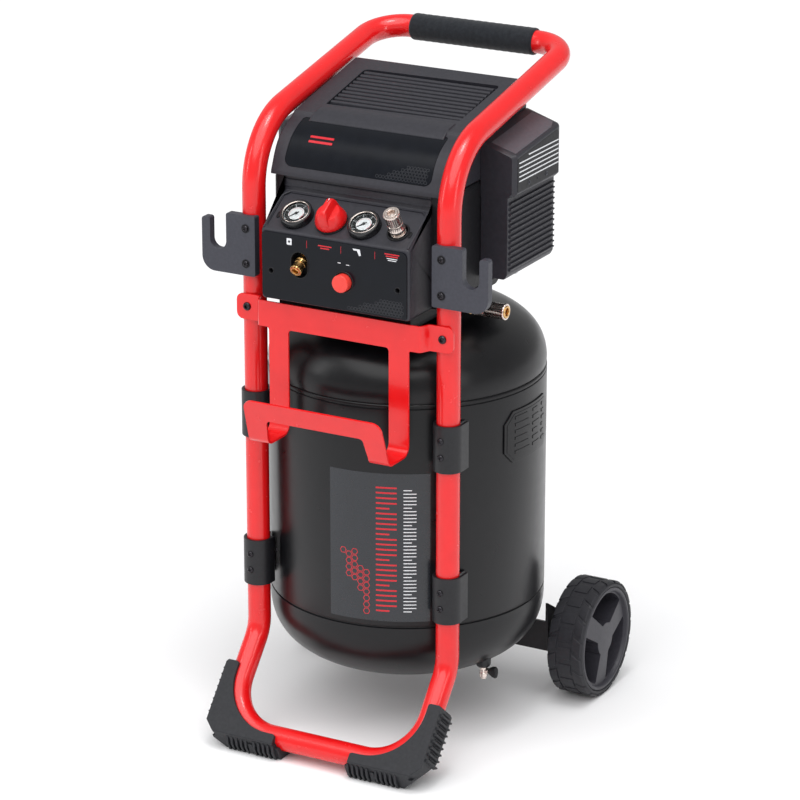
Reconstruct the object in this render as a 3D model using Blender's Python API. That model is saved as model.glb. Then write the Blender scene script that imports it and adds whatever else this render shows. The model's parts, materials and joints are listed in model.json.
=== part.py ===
"""Upright portable air compressor: red tube frame, standing tank, twin-piston pump.

Metres, +Z up, the front faces -Y. Lengths are first laid out from the plane of the
two upright tubes (y = 0) and the floor (z = 0). The empty "compressor" then moves
everything so that the origin lies on the floor under the middle of the footprint.
"""
import bpy
import bmesh
import math
from mathutils import Matrix, Vector

# ---------------------------------------------------------------- driving dimensions
GAP = 0.0003              # clearance kept between pieces that touch

# tube frame
TUBE_R = 0.016
TUBE_WALL = 0.0015
TUBE_SIDES = 12
TUBE_X = 0.148            # half the spacing of the uprights
KNEE_Z = 0.140            # where the lower legs start to lean forward
KNEE_BEND = 0.050
BAR_Y = -0.095            # floor bar in front
BAR_Z = 0.0265
BAR_BEND = 0.075
TUBE_JOINT_Z = 0.458      # lower and upper frame meet inside the upper collars
SHOULDER_Z = 0.854        # where the uprights turn back into the handle
SHOULDER_BEND = 0.100
HANDLE_Y = 0.350
HANDLE_Z = 0.927
HANDLE_BEND = 0.050
GRIP_HALF = 0.095
GRIP_R = 0.0190

# front feet
PAD_FRONT = -0.121
PAD_OUT = 0.024           # rubber outside the tube's centre line
PAD_IN = 0.001            # where it starts, outside the centre line too
PAD_DROP = 0.032          # rubber below the floor bar's centre line
PAD_CHAMFER = 0.033       # cut-off outer lower corner
PAD_HALF = 0.021
PAD_LEG = 0.0885          # arm lengths from the tube's virtual corner
PAD_BAR = 0.089
SOLE_INNER = 0.052
SOLE_OUTER = 0.140
SOLE_Y = (-0.106, -0.078)
PAD_LIP_Z = 0.028         # the front edge slants back to the sole below this

# collars and hose bracket
COLLAR_R = 0.0205
COLLAR_Z = (0.242, 0.458)
COLLAR_H = 0.066
BRACKET_H = 0.052
BRACKET_X = (0.1390, 0.1530)
SHEET = 0.003

# tank
TANK_R = 0.192
TANK_Y = 0.157
TANK_WALL = 0.0025
TANK_LOW = 0.190
TANK_HIGH = 0.509
TOP_END = (0.096, 2.6)        # depth and fullness of the dished ends
BOTTOM_END = (0.110, 2.8)
TANK_SIDES = 40
DOME_RINGS = 7
DRAIN_XY = (0.145, 0.110)
DRAIN_KNOB_Z = 0.0935
SAFETY_XY = (-0.050, 0.288)

# running gear
AXLE_Y = 0.312
AXLE_Z = 0.084
AXLE_R = 0.006
WHEEL_R = 0.084
RIM_R = 0.0745
WHEEL_SIDES = 32
WHEEL_IN = 0.183
WHEEL_OUT = 0.238

# housing
WALL = 0.003
PANEL_HALF = 0.112
BODY_HALF = 0.130
FASCIA_Y = -0.043
HOUSING_LOW = 0.637
SKIRT_LOW = 0.6085
SKIRT_HALF = 0.100
DECK_FRONT = (FASCIA_Y, 0.7335)
DECK_BACK = (0.018, 0.772)
SEAM_Z = 0.792
BACK_Y = 0.255
INLAY_HALF = 0.111
INLAY_T = 0.0017
FACE_LINE = [(0.0148, 0.8015), (0.0240, 0.824), (0.0360, 0.8405), (0.0520, 0.8520), (0.0720, 0.8605)]
GLAND = (-0.085, BACK_Y, 0.668)
CONTROL_Y = -0.0178       # the row of controls on the deck

# controls on the deck, left to right
GAUGE_X = (-0.0705, 0.032)
GAUGE_R = 0.0225
KNOB_X = -0.018
TOP_COUPLER_X = 0.082

# controls on the front
PORT_X = -0.052
PORT_Z = 0.692
PORT_TILT = math.radians(116)     # outlet points forward and down
BUTTON_X = 0.015
BUTTON_Z = 0.678
BUTTON_R = 0.012

# side coupler
SIDE_COUPLER = (0.110, 0.105, 0.6200)

# pump
MOTOR_Y = 0.145
MOTOR_Z = 0.722
THROW = 0.006
CYLINDER_X = 0.098
PISTON_R = 0.0240

REAR_Y = AXLE_Y + WHEEL_R
ORIGIN_Y = (REAR_Y + PAD_FRONT) / 2
DECK_ANGLE = math.atan2(DECK_BACK[1] - DECK_FRONT[1], DECK_BACK[0] - DECK_FRONT[0])
CONTROL_Z = DECK_FRONT[1] + (CONTROL_Y - DECK_FRONT[0]) * math.tan(DECK_ANGLE)

# ---------------------------------------------------------------- clean start
for old in list(bpy.data.objects):
    bpy.data.objects.remove(old, do_unlink=True)

BASE = bpy.data.objects.new("compressor", None)
BASE.location = (0, -ORIGIN_Y, 0)
bpy.context.scene.collection.objects.link(BASE)


# ---------------------------------------------------------------- materials
def finish(name, colour, roughness, metallic=0.0, alpha=1.0):
    mat = bpy.data.materials.new(name)
    mat.use_nodes = True
    shader = mat.node_tree.nodes["Principled BSDF"]
    shader.inputs["Base Color"].default_value = (*colour, 1.0)
    shader.inputs["Roughness"].default_value = roughness
    shader.inputs["Metallic"].default_value = metallic
    shader.inputs["Alpha"].default_value = alpha
    return mat


RED_PAINT = finish("red_paint", (0.80, 0.012, 0.014), 0.30)
BLACK_PAINT = finish("black_paint", (0.010, 0.010, 0.012), 0.28)
CHARCOAL = finish("charcoal_plastic", (0.045, 0.045, 0.052), 0.55)
GLOSS = finish("gloss_inlay", (0.006, 0.008, 0.012), 0.12)
RUBBER = finish("rubber", (0.030, 0.030, 0.034), 0.80)
FOAM = finish("foam_grip", (0.025, 0.028, 0.033), 0.90)
HUB = finish("hub_plastic", (0.050, 0.050, 0.057), 0.50)
RED_PLASTIC = finish("red_plastic", (0.72, 0.012, 0.014), 0.35)
NICKEL = finish("nickel", (0.72, 0.62, 0.55), 0.22, 1.0)
BRASS = finish("brass", (0.72, 0.47, 0.20), 0.25, 1.0)
STEEL = finish("steel", (0.55, 0.55, 0.57), 0.35, 1.0)
CASTING = finish("pump_casting", (0.50, 0.51, 0.53), 0.45, 1.0)
CLEAR = finish("lens", (0.90, 0.92, 0.92), 0.05, 0.0, 0.35)


# ---------------------------------------------------------------- shape helpers
def place(name, shape, mat, location=(0, 0, 0), rotation=(0, 0, 0)):
    """Turn a bmesh into a named object under the base."""
    bmesh.ops.remove_doubles(shape, verts=shape.verts, dist=1e-7)
    bmesh.ops.recalc_face_normals(shape, faces=shape.faces)
    mesh = bpy.data.meshes.new(name)
    shape.to_mesh(mesh)
    shape.free()
    mesh.materials.append(mat)
    mesh.shade_smooth()
    mesh.set_sharp_from_angle(angle=math.radians(35))
    obj = bpy.data.objects.new(name, mesh)
    bpy.context.scene.collection.objects.link(obj)
    obj.parent = BASE
    obj.location = location
    obj.rotation_euler = rotation
    return obj


def prism(outline, low, high, axis):
    """Extrude a closed outline along X (points are y, z), Y (x, z) or Z (x, y)."""
    order = {"X": (2, 0, 1), "Y": (0, 2, 1), "Z": (0, 1, 2)}[axis]
    shape = bmesh.new()
    caps = []
    for level in (low, high):
        ring = []
        for a, b in outline:
            source = (a, b, level)
            ring.append(shape.verts.new([source[order[i]] for i in range(3)]))
        caps.append(ring)
    count = len(outline)
    for i in range(count):
        j = (i + 1) % count
        shape.faces.new((caps[0][i], caps[0][j], caps[1][j], caps[1][i]))
    shape.faces.new(caps[0])
    shape.faces.new(list(reversed(caps[1])))
    return shape


def block(x, y, z):
    return prism([(x[0], y[0]), (x[1], y[0]), (x[1], y[1]), (x[0], y[1])], z[0], z[1], "Z")


def lathe(profile, sides, closed=False):
    """Turn (radius, height) points about Z; a radius of 0 closes the end."""
    shape = bmesh.new()
    rings = []
    for radius, height in profile:
        if radius == 0:
            rings.append([shape.verts.new((0, 0, height))])
            continue
        ring = []
        for k in range(sides):
            turn = 2 * math.pi * k / sides
            ring.append(shape.verts.new((radius * math.cos(turn), radius * math.sin(turn), height)))
        rings.append(ring)
    pairs = list(zip(rings, rings[1:]))
    if closed:
        pairs.append((rings[-1], rings[0]))
    for low, high in pairs:
        if len(low) == 1 and len(high) == 1:
            continue
        for k in range(sides):
            n = (k + 1) % sides
            if len(low) == 1:
                shape.faces.new((low[0], high[n], high[k]))
            elif len(high) == 1:
                shape.faces.new((low[k], low[n], high[0]))
            else:
                shape.faces.new((low[k], low[n], high[n], high[k]))
    return shape


def aim(shape, axis):
    """Lay a lathed shape with its +Z end along +X or -X."""
    turn = Matrix.Rotation(math.pi / 2 if axis == "+X" else -math.pi / 2, 4, "Y")
    bmesh.ops.transform(shape, matrix=turn, verts=shape.verts)
    return shape


def fillet_path(points, radii, steps=6):
    """A polyline with each inner corner replaced by an arc."""
    path = [Vector(points[0])]
    for before, corner, after, radius in zip(points, points[1:], points[2:], radii):
        corner = Vector(corner)
        into = (Vector(before) - corner).normalized()
        out = (Vector(after) - corner).normalized()
        half = into.angle(out) / 2
        reach = radius / math.tan(half)
        middle = corner + (into + out).normalized() * (radius / math.sin(half))
        start = corner + into * reach - middle
        sweep = math.pi - 2 * half
        axis = into.cross(out).normalized()
        for k in range(steps + 1):
            turned = Matrix.Rotation(-sweep * k / steps, 3, axis) @ start
            path.append(middle + turned)
    path.append(Vector(points[-1]))
    return path


def frames_along(path):
    """A side and a normal direction at each point, carried along without twist."""
    tangents = []
    for i, point in enumerate(path):
        before = path[max(i - 1, 0)]
        after = path[min(i + 1, len(path) - 1)]
        tangents.append((after - point).normalized() + (point - before).normalized())
        tangents[-1].normalize()
    side = tangents[0].cross(Vector((0.0, 0.0, 1.0)))
    if side.length < 0.1:
        side = tangents[0].cross(Vector((0.0, 1.0, 0.0)))
    side.normalize()
    result = []
    for i, tangent in enumerate(tangents):
        if i:
            side = tangents[i - 1].rotation_difference(tangent) @ side
        side = (side - tangent * side.dot(tangent)).normalized()
        result.append((side, tangent.cross(side)))
    return result


def pipe(path, radius, sides, bore=0.0):
    """A round bar, or a tube when bore is given, along a path."""
    shape = bmesh.new()
    layers = []
    for point, (side, up) in zip(path, frames_along(path)):
        for size in (radius, bore) if bore else (radius,):
            ring = []
            for k in range(sides):
                turn = 2 * math.pi * (k + 0.5) / sides
                reach = side * math.cos(turn) + up * math.sin(turn)
                ring.append(shape.verts.new(point + reach * size))
            layers.append(ring)
    step = 2 if bore else 1
    for level in range(0, len(layers) - step, step):
        for wall in range(step):
            low, high = layers[level + wall], layers[level + step + wall]
            for k in range(sides):
                n = (k + 1) % sides
                quad = (low[k], low[n], high[n], high[k])
                shape.faces.new(quad if wall == 0 else tuple(reversed(quad)))
    for first in (0, len(layers) - step):
        if bore:
            for k in range(sides):
                n = (k + 1) % sides
                outer, inner = layers[first], layers[first + 1]
                shape.faces.new((outer[k], outer[n], inner[n], inner[k]))
        else:
            shape.faces.new(layers[first])
    return shape


def combine(obj, operation, shapes):
    """Apply Boolean steps to an object with throw-away shapes in the same frame."""
    for shape in shapes:
        other = place("cutter", shape, obj.data.materials[0], obj.location, obj.rotation_euler)
        other.hide_render = True
        other.display_type = "WIRE"
        step = obj.modifiers.new("step", "BOOLEAN")
        step.operation = operation
        step.solver = "EXACT"
        step.object = other
        bpy.context.view_layer.update()
        graph = bpy.context.evaluated_depsgraph_get()
        result = bpy.data.meshes.new_from_object(obj.evaluated_get(graph))
        obj.modifiers.clear()
        obj.data = result
        obj.data.name = obj.name
        bpy.data.objects.remove(other, do_unlink=True)
    tidy = bmesh.new()
    tidy.from_mesh(obj.data)
    bmesh.ops.remove_doubles(tidy, verts=tidy.verts, dist=2e-6)
    bmesh.ops.dissolve_degenerate(tidy, dist=2e-6, edges=tidy.edges)
    tidy.to_mesh(obj.data)
    tidy.free()
    obj.data.shade_smooth()
    obj.data.set_sharp_from_angle(angle=math.radians(35))
    return obj


def mirrored(points, side):
    """Outline points with x mirrored for the left-hand piece (side = -1)."""
    return [(side * x, y) for x, y in points]


def arc(centre, radius, start, stop, steps):
    """Points on an arc, angles in degrees."""
    result = []
    for k in range(steps + 1):
        turn = math.radians(start + (stop - start) * k / steps)
        result.append((centre[0] + radius * math.cos(turn), centre[1] + radius * math.sin(turn)))
    return result


def offset_line(points, distance):
    """Shift an open line to its left-hand side by a distance."""
    result = []
    for i, point in enumerate(points):
        before = points[max(i - 1, 0)]
        after = points[min(i + 1, len(points) - 1)]
        along = Vector((after[0] - before[0], after[1] - before[1])).normalized()
        result.append((point[0] - along.y * distance, point[1] + along.x * distance))
    return result


def on_deck(x):
    """Location and rotation of a control that stands square on the sloping deck."""
    return (x, CONTROL_Y, CONTROL_Z), (DECK_ANGLE, 0, 0)


SIDES = (("left", -1), ("right", 1))


# ---------------------------------------------------------------- tube frame
def tube_frame():
    lower = [(-TUBE_X, 0, TUBE_JOINT_Z - GAP), (-TUBE_X, 0, KNEE_Z), (-TUBE_X, BAR_Y, BAR_Z),
             (TUBE_X, BAR_Y, BAR_Z), (TUBE_X, 0, KNEE_Z), (TUBE_X, 0, TUBE_JOINT_Z - GAP)]
    lower_path = fillet_path(lower, (KNEE_BEND, BAR_BEND, BAR_BEND, KNEE_BEND))
    bore = TUBE_R - TUBE_WALL
    place("frame_lower", pipe(lower_path, TUBE_R, TUBE_SIDES, bore), RED_PAINT)

    upper = [(-TUBE_X, 0, TUBE_JOINT_Z + GAP), (-TUBE_X, 0, SHOULDER_Z), (-TUBE_X, HANDLE_Y, HANDLE_Z),
             (TUBE_X, HANDLE_Y, HANDLE_Z), (TUBE_X, 0, SHOULDER_Z), (TUBE_X, 0, TUBE_JOINT_Z + GAP)]
    upper_path = fillet_path(upper, (SHOULDER_BEND, HANDLE_BEND, HANDLE_BEND, SHOULDER_BEND))
    place("frame_upper", pipe(upper_path, TUBE_R, TUBE_SIDES, bore), RED_PAINT)

    sleeve = lathe([(TUBE_R + GAP, -GRIP_HALF), (GRIP_R, -GRIP_HALF), (GRIP_R, GRIP_HALF),
                    (TUBE_R + GAP, GRIP_HALF)], 24, closed=True)
    place("handle_grip", aim(sleeve, "+X"), FOAM, (0, HANDLE_Y, HANDLE_Z))
    return lower_path


def foot_pads(lower_path):
    """Rubber corners that wrap the outer and lower side of the floor bar's bends."""
    up_leg = Vector((0, -BAR_Y, KNEE_Z - BAR_Z)).normalized()
    normal = Vector((0, -up_leg.z, up_leg.y))
    leg_plane = Matrix(((1, 0, 0, 0), (0, up_leg.y, normal.y, BAR_Y),
                        (0, up_leg.z, normal.z, BAR_Z), (0, 0, 0, 1)))
    bend_x = TUBE_X - BAR_BEND
    arm_end = TUBE_X - PAD_BAR
    outer = TUBE_X + PAD_OUT
    outline = [(TUBE_X + PAD_IN, PAD_LEG)] + arc((bend_x, BAR_BEND), BAR_BEND + PAD_IN, 0, -90, 6)
    outline += [(arm_end, -PAD_IN), (arm_end, -PAD_DROP), (outer - PAD_CHAMFER, -PAD_DROP)]
    outline += [(outer, PAD_CHAMFER - PAD_DROP), (outer, PAD_LEG)]
    side_clip = [(PAD_FRONT, 0.2), (PAD_FRONT, PAD_LIP_Z), (SOLE_Y[0], 0), (0.2, 0), (0.2, 0.2)]
    front_clip = [(0, 0), (SOLE_OUTER, 0), (outer, PAD_LIP_Z), (outer, 0.2), (0, 0.2)]
    sole = [(SOLE_Y[0] - 0.012, -0.010), (SOLE_Y[1], -0.010), (SOLE_Y[1], 0.020), (SOLE_Y[0] - 0.012, 0.020)]
    for label, side in SIDES:
        shape = prism(mirrored(outline, side), -PAD_HALF, PAD_HALF, "Z")
        bmesh.ops.transform(shape, matrix=leg_plane, verts=shape.verts)
        pad = place("foot_pad_" + label, shape, RUBBER)
        sole_x = sorted((side * SOLE_INNER, side * (outer - 0.010)))
        clip_x = sorted((0, side * 0.3))
        combine(pad, "UNION", [prism(sole, sole_x[0], sole_x[1], "X")])
        combine(pad, "INTERSECT", [prism(side_clip, clip_x[0], clip_x[1], "X")])
        combine(pad, "INTERSECT", [prism(mirrored(front_clip, side), -0.3, 0.1, "Y")])
        combine(pad, "DIFFERENCE", [pipe(lower_path, TUBE_R + GAP, TUBE_SIDES)])


# ---------------------------------------------------------------- what is bolted to the tubes
def collars():
    inner, outer = TUBE_R + GAP, COLLAR_R
    back_outer, back_inner = 0.0200, 0.0095
    saddle = [(outer, back_outer)] + arc((0, 0), outer, 0, -180, 12)
    saddle += [(-outer, back_inner), (-inner, back_inner)]
    saddle += arc((0, 0), inner, -180, 0, 12) + [(inner, back_outer)]
    for label, side in SIDES:
        for level, height in zip(("lower", "upper"), COLLAR_Z):
            outline = [(side * (TUBE_X + x), y) for x, y in saddle]
            low, high = height - COLLAR_H / 2, height + COLLAR_H / 2
            place("collar_%s_%s" % (level, label), prism(outline, low, high, "Z"), BLACK_PAINT)
            tank_bracket(level, label, side, height)


def tank_bracket(level, label, side, height):
    """Channel welded to the tank, open towards it, with its web behind the tube."""
    near, far = BRACKET_X
    front = 0.0206
    web = 0.003
    clear = TANK_R + 2 * GAP

    def skin(x):
        return TANK_Y - math.sqrt(clear ** 2 - x ** 2)

    outline = [(near, front), (far, front), (far, skin(far)), (far - web, skin(far - web)),
               (far - web, front + web), (near + web, front + web), (near + web, skin(near + web)),
               (near, skin(near))]
    low, high = height - BRACKET_H / 2, height + BRACKET_H / 2
    place("tank_bracket_%s_%s" % (level, label), prism(mirrored(outline, side), low, high, "Z"), BLACK_PAINT)


def hose_bracket():
    """Bent sheet: a bar across the tubes, two legs, a trough and a leaning front strip."""
    tab_y, bar_y = -0.0180, -0.0330
    columns = (-0.1650, -0.1320, -0.1210, -0.1065, -0.0766, 0.0766, 0.1065, 0.1210, 0.1320, 0.1650)
    tab_columns = (0, 1, 8, 9)
    profile = fillet_path([(0, bar_y, 0.594), (0, bar_y, 0.4490), (0, -0.0865, 0.4490), (0, -0.1075, 0.5140)],
                          (0.014, 0.012), 4)
    strip_low = profile[-1].lerp(profile[-2], 0.40)
    rows = [Vector((0, bar_y, 0.630))] + profile[:-1] + [strip_low, profile[-1]]
    shape = bmesh.new()
    grid = {}

    def corner(c, r):
        if (c, r) not in grid:
            x, y, z = columns[c], rows[r].y, rows[r].z
            if r <= 1 and c in tab_columns:
                y = tab_y
            if r >= len(rows) - 2:
                x *= 0.96
            grid[c, r] = shape.verts.new((x, y, z))
        return grid[c, r]

    last = len(rows) - 1
    cells = [(c, 0) for c in range(9)]
    cells += [(c, r) for c in (3, 5) for r in range(1, last)]
    cells += [(4, last - 1)]
    for c, r in cells:
        shape.faces.new((corner(c, r), corner(c + 1, r), corner(c + 1, r + 1), corner(c, r + 1)))
    obj = place("hose_bracket", shape, RED_PAINT)
    thick = obj.modifiers.new("sheet", "SOLIDIFY")
    thick.thickness = SHEET
    thick.offset = 0
    thick.use_even_offset = True


def hooks():
    """Moulded side hooks: a plate over the tube and an upturned prong outside it."""
    low, high = 0.6560, 0.7400
    plate_in, plate_out = 0.1340, 0.1790
    prong_in, prong_out = 0.2040, 0.2170
    prong_top, cup = 0.7305, 0.6880
    cup_r = (prong_in - plate_out) / 2
    outline = [(plate_in, low)] + arc((prong_out - 0.020, low + 0.020), 0.020, -90, 0, 5)
    outline += [(prong_out, prong_top), (prong_in, prong_top)]
    outline += arc((plate_out + cup_r, cup + cup_r), cup_r, 0, -180, 8)
    outline += [(plate_out, high), (plate_in, high)]
    for label, side in SIDES:
        hook = place("hook_" + label, prism(mirrored(outline, side), -0.0225, -0.0105, "Y"), CHARCOAL)
        channel = lathe([(0, 0.6), (TUBE_R + GAP, 0.6), (TUBE_R + GAP, 0.8), (0, 0.8)], TUBE_SIDES * 2)
        bmesh.ops.translate(channel, verts=channel.verts, vec=(side * TUBE_X, 0, 0))
        combine(hook, "DIFFERENCE", [channel])


# ---------------------------------------------------------------- tank
def end_line(end, grow=0.0):
    """Profile of a dished end as (radius, distance from the rim), from rim to pole."""
    depth, fullness = end[0] + grow, end[1]
    line = []
    for k in range(DOME_RINGS + 1):
        turn = math.radians(90) * k / DOME_RINGS
        radius = (TANK_R + grow) * math.cos(turn) ** (2 / fullness)
        line.append((radius, depth * math.sin(turn) ** (2 / fullness)))
    line[-1] = (0, depth)
    return line


def dome_profile(sign, end):
    outer = [(radius, sign * reach) for radius, reach in end_line(end)]
    inner = [(radius, sign * reach) for radius, reach in end_line(end, -TANK_WALL)]
    return outer, inner


def tank():
    inner_r = TANK_R - TANK_WALL
    shell = [(TANK_R, TANK_LOW), (TANK_R, TANK_HIGH), (inner_r, TANK_HIGH), (inner_r, TANK_LOW)]
    place("tank_shell", lathe(shell, TANK_SIDES, closed=True), BLACK_PAINT, (0, TANK_Y, 0))
    ends = (("tank_top", 1, TOP_END, TANK_HIGH + GAP), ("tank_bottom", -1, BOTTOM_END, TANK_LOW - GAP))
    for name, sign, end, height in ends:
        outer, inner = dome_profile(sign, end)
        bowl = bmesh.new()
        rings = []
        for line in (outer, inner):
            part = []
            for radius, height_of in line:
                if radius == 0:
                    part.append([bowl.verts.new((0, 0, height_of))])
                    continue
                angles = [2 * math.pi * k / TANK_SIDES for k in range(TANK_SIDES)]
                spots = [(radius * math.cos(a), radius * math.sin(a), height_of) for a in angles]
                part.append([bowl.verts.new(spot) for spot in spots])
            rings.append(part)
        for part in rings:
            for a, b in zip(part, part[1:]):
                for k in range(TANK_SIDES):
                    n = (k + 1) % TANK_SIDES
                    bowl.faces.new((a[k], a[n], b[0]) if len(b) == 1 else (a[k], a[n], b[n], b[k]))
        for k in range(TANK_SIDES):
            n = (k + 1) % TANK_SIDES
            bowl.faces.new((rings[0][0][k], rings[0][0][n], rings[1][0][n], rings[1][0][k]))
        place(name, bowl, BLACK_PAINT, (0, TANK_Y, height))


def drain_valve():
    """Valve in a boss under the right side of the tank, with a wing knob on its side."""
    x, y = DRAIN_XY
    body = lathe([(0, 0.150), (0.0105, 0.150), (0.0105, 0.1045), (0.0085, 0.1000), (0.0056, 0.0995),
                  (0.0056, 0.0850), (0.0044, 0.0815), (0, 0.0815)], 16)
    valve = place("drain_valve", body, NICKEL, (x, y, 0))
    tank_room = tank_clearance()
    bmesh.ops.translate(tank_room, verts=tank_room.verts, vec=(-x, -y, 0))
    combine(valve, "DIFFERENCE", [tank_room])
    knob = lathe([(0, 0.0061), (0.0035, 0.0061), (0.0035, 0.0095), (0.0088, 0.0105),
                  (0.0088, 0.0215), (0, 0.0215)], 16)
    bmesh.ops.scale(knob, vec=(1.0, 0.60, 1.0), verts=knob.verts)
    place("drain_knob", aim(knob, "+X"), CHARCOAL, (x, y, DRAIN_KNOB_Z))


# ---------------------------------------------------------------- running gear
def axle_brackets():
    """Angle brackets under the tank's rear that hold the axle."""
    plate = (0.1650, 0.1690)
    web_y = (0.2620, 0.2660)
    outline = [(web_y[0], 0.1430), (web_y[0], 0.0700), (AXLE_Y - 0.016, AXLE_Z - 0.018)]
    outline += [(AXLE_Y + 0.012, AXLE_Z - 0.018), (AXLE_Y + 0.018, AXLE_Z), (AXLE_Y + 0.012, AXLE_Z + 0.020)]
    outline += [(0.2880, 0.1270)]
    for label, side in SIDES:
        low, high = sorted((side * plate[0], side * plate[1]))
        bracket = place("axle_bracket_" + label, prism(outline, low, high, "X"), BLACK_PAINT)
        web_x = sorted((side * 0.1000, side * (plate[0] + 0.001)))
        web = block(web_x, web_y, (0.0700, 0.1140))
        hole = aim(lathe([(0, 0.10), (AXLE_R + GAP, 0.10), (AXLE_R + GAP, 0.18), (0, 0.18)], 20),
                   "+X" if side > 0 else "-X")
        bmesh.ops.translate(hole, verts=hole.verts, vec=(0, AXLE_Y, AXLE_Z))
        combine(bracket, "UNION", [web])
        combine(bracket, "DIFFERENCE", [hole, tank_clearance()])


def tank_clearance():
    """The tank's outside, slightly swollen, to trim what is welded to it."""
    swell = 0.0006
    profile = [(radius, TANK_LOW - reach) for radius, reach in reversed(end_line(BOTTOM_END, swell))]
    profile += [(TANK_R + swell, TANK_HIGH), (0, TANK_HIGH)]
    shape = lathe(profile, TANK_SIDES)
    bmesh.ops.translate(shape, verts=shape.verts, vec=(0, TANK_Y, 0))
    return shape


def wheels():
    end = WHEEL_OUT - 0.0140
    rod = lathe([(0, -end), (AXLE_R, -end), (AXLE_R, end), (0, end)], 20)
    place("axle", aim(rod, "+X"), STEEL, (0, AXLE_Y, AXLE_Z))
    middle = (WHEEL_IN + WHEEL_OUT) / 2
    half = (WHEEL_OUT - WHEEL_IN) / 2
    for label, side in SIDES:
        spot = (side * middle, AXLE_Y, AXLE_Z)
        out = "+X" if side > 0 else "-X"
        tread = [(RIM_R, -half), (WHEEL_R - 0.005, -half), (WHEEL_R, -half + 0.006), (WHEEL_R, half - 0.006),
                 (WHEEL_R - 0.005, half), (RIM_R, half)]
        place("tyre_" + label, aim(lathe(tread, WHEEL_SIDES, closed=True), out), RUBBER, spot)
        hub = place("hub_" + label, aim(hub_blank(half), out), HUB, spot)
        for k in range(3):
            combine(hub, "DIFFERENCE", [kidney(k, half, out)])


def hub_blank(half):
    """Dish with a rim, a web and a blind bore that takes the axle's end."""
    rim = RIM_R - GAP
    bore, lip = AXLE_R + GAP, rim - 0.0045
    return lathe([(bore, -half + 0.002), (0.0130, -half + 0.002), (0.0130, -0.0060), (lip, -0.0060),
                  (lip, -half), (rim, -half), (rim, half - 0.0005), (lip, half - 0.0005),
                  (rim - 0.0060, half - 0.0065), (0.0160, half - 0.0020), (0, half - 0.0015),
                  (0, half - 0.0130), (bore, half - 0.0130)], WHEEL_SIDES, closed=True)


def kidney(k, half, out):
    """One of three openings between the hub's arms."""
    inner, outer, spread = 0.0235, 0.0660, 45
    middle = 60 + 120 * k
    outline = arc((0, 0), outer, middle - spread, middle + spread, 6)
    outline += arc((0, 0), inner, middle + spread * 0.62, middle - spread * 0.62, 3)
    return aim(prism(outline, -half - 0.01, half + 0.01, "Z"), out)


# ---------------------------------------------------------------- housing
def lower_housing():
    deck_inner = offset_line([DECK_FRONT, DECK_BACK], -WALL)
    panel = [(FASCIA_Y, HOUSING_LOW), (0.060, HOUSING_LOW), (0.060, SEAM_Z), (0.0215, SEAM_Z)]
    panel += [DECK_BACK, DECK_FRONT]
    shell = place("housing_lower", prism(panel, -PANEL_HALF, PANEL_HALF, "X"), CHARCOAL)
    body = block((-BODY_HALF, BODY_HALF), (0.0220, BACK_Y), (HOUSING_LOW, SEAM_Z))
    skirt = block((-SKIRT_HALF, SKIRT_HALF), (-0.018, 0.235), (SKIRT_LOW, HOUSING_LOW + 0.001))
    front = FASCIA_Y + WALL
    floor = HOUSING_LOW + WALL
    hollow = [(front, floor), (0.062, floor), (0.062, SEAM_Z + 0.01), (0.0215 + WALL, SEAM_Z + 0.01),
              (0.0215 + WALL, SEAM_Z - 0.01), (deck_inner[1][0] + 0.001, deck_inner[1][1]),
              (front, deck_inner[0][1] - 0.0005)]
    inside = prism(hollow, -PANEL_HALF + WALL, PANEL_HALF - WALL, "X")
    inner_half = BODY_HALF - WALL
    back_inside = block((-inner_half, inner_half), (0.0220 + WALL, BACK_Y - WALL), (floor, SEAM_Z + 0.01))
    mouth = block((-SKIRT_HALF + WALL, SKIRT_HALF - WALL), (-0.015, 0.232), (0.60, floor + 0.002))
    combine(shell, "UNION", [body, skirt])
    combine(shell, "DIFFERENCE", [inside, back_inside, mouth])
    for x, radius in ((GAUGE_X[0], 0.0170), (GAUGE_X[1], 0.0170), (KNOB_X, 0.0080), (TOP_COUPLER_X, 0.0110)):
        combine(shell, "DIFFERENCE", [deck_bore(x, radius)])
    combine(shell, "DIFFERENCE", [port_slot(FASCIA_Y - 0.004, FASCIA_Y + 0.010), button_bore(0.0130)])
    side_bore = aim(lathe([(0, 0.09), (0.0070, 0.09), (0.0070, 0.11), (0, 0.11)], 16), "+X")
    bmesh.ops.translate(side_bore, verts=side_bore.verts, vec=(0, SIDE_COUPLER[1], SIDE_COUPLER[2]))
    combine(shell, "DIFFERENCE", [side_bore])
    gland_bore = lathe([(0, -0.01), (0.0070, -0.01), (0.0070, 0.01), (0, 0.01)], 16)
    bmesh.ops.rotate(gland_bore, verts=gland_bore.verts, matrix=Matrix.Rotation(math.pi / 2, 3, "X"))
    bmesh.ops.translate(gland_bore, verts=gland_bore.verts, vec=GLAND)
    combine(shell, "DIFFERENCE", [gland_bore])


def deck_bore(x, radius):
    """Hole square through the deck under a control."""
    spot, turn = on_deck(x)
    shape = lathe([(0, -0.012), (radius, -0.012), (radius, 0.012), (0, 0.012)], 20)
    bmesh.ops.rotate(shape, verts=shape.verts, matrix=Matrix.Rotation(turn[0], 3, "X"))
    bmesh.ops.translate(shape, verts=shape.verts, vec=spot)
    return shape


def port_slot(front, back):
    """Oval opening around the brass outlet."""
    half_w, rise = 0.0125, 0.0045
    outline = arc((PORT_X, PORT_Z + rise), half_w, 0, 180, 8)
    outline += arc((PORT_X, PORT_Z - rise), half_w, 180, 360, 8)
    return prism(outline, front, back, "Y")


def button_bore(radius):
    outline = arc((BUTTON_X, BUTTON_Z), radius, 0, 342, 19)
    return prism(outline, FASCIA_Y - 0.004, FASCIA_Y + 0.010, "Y")


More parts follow.
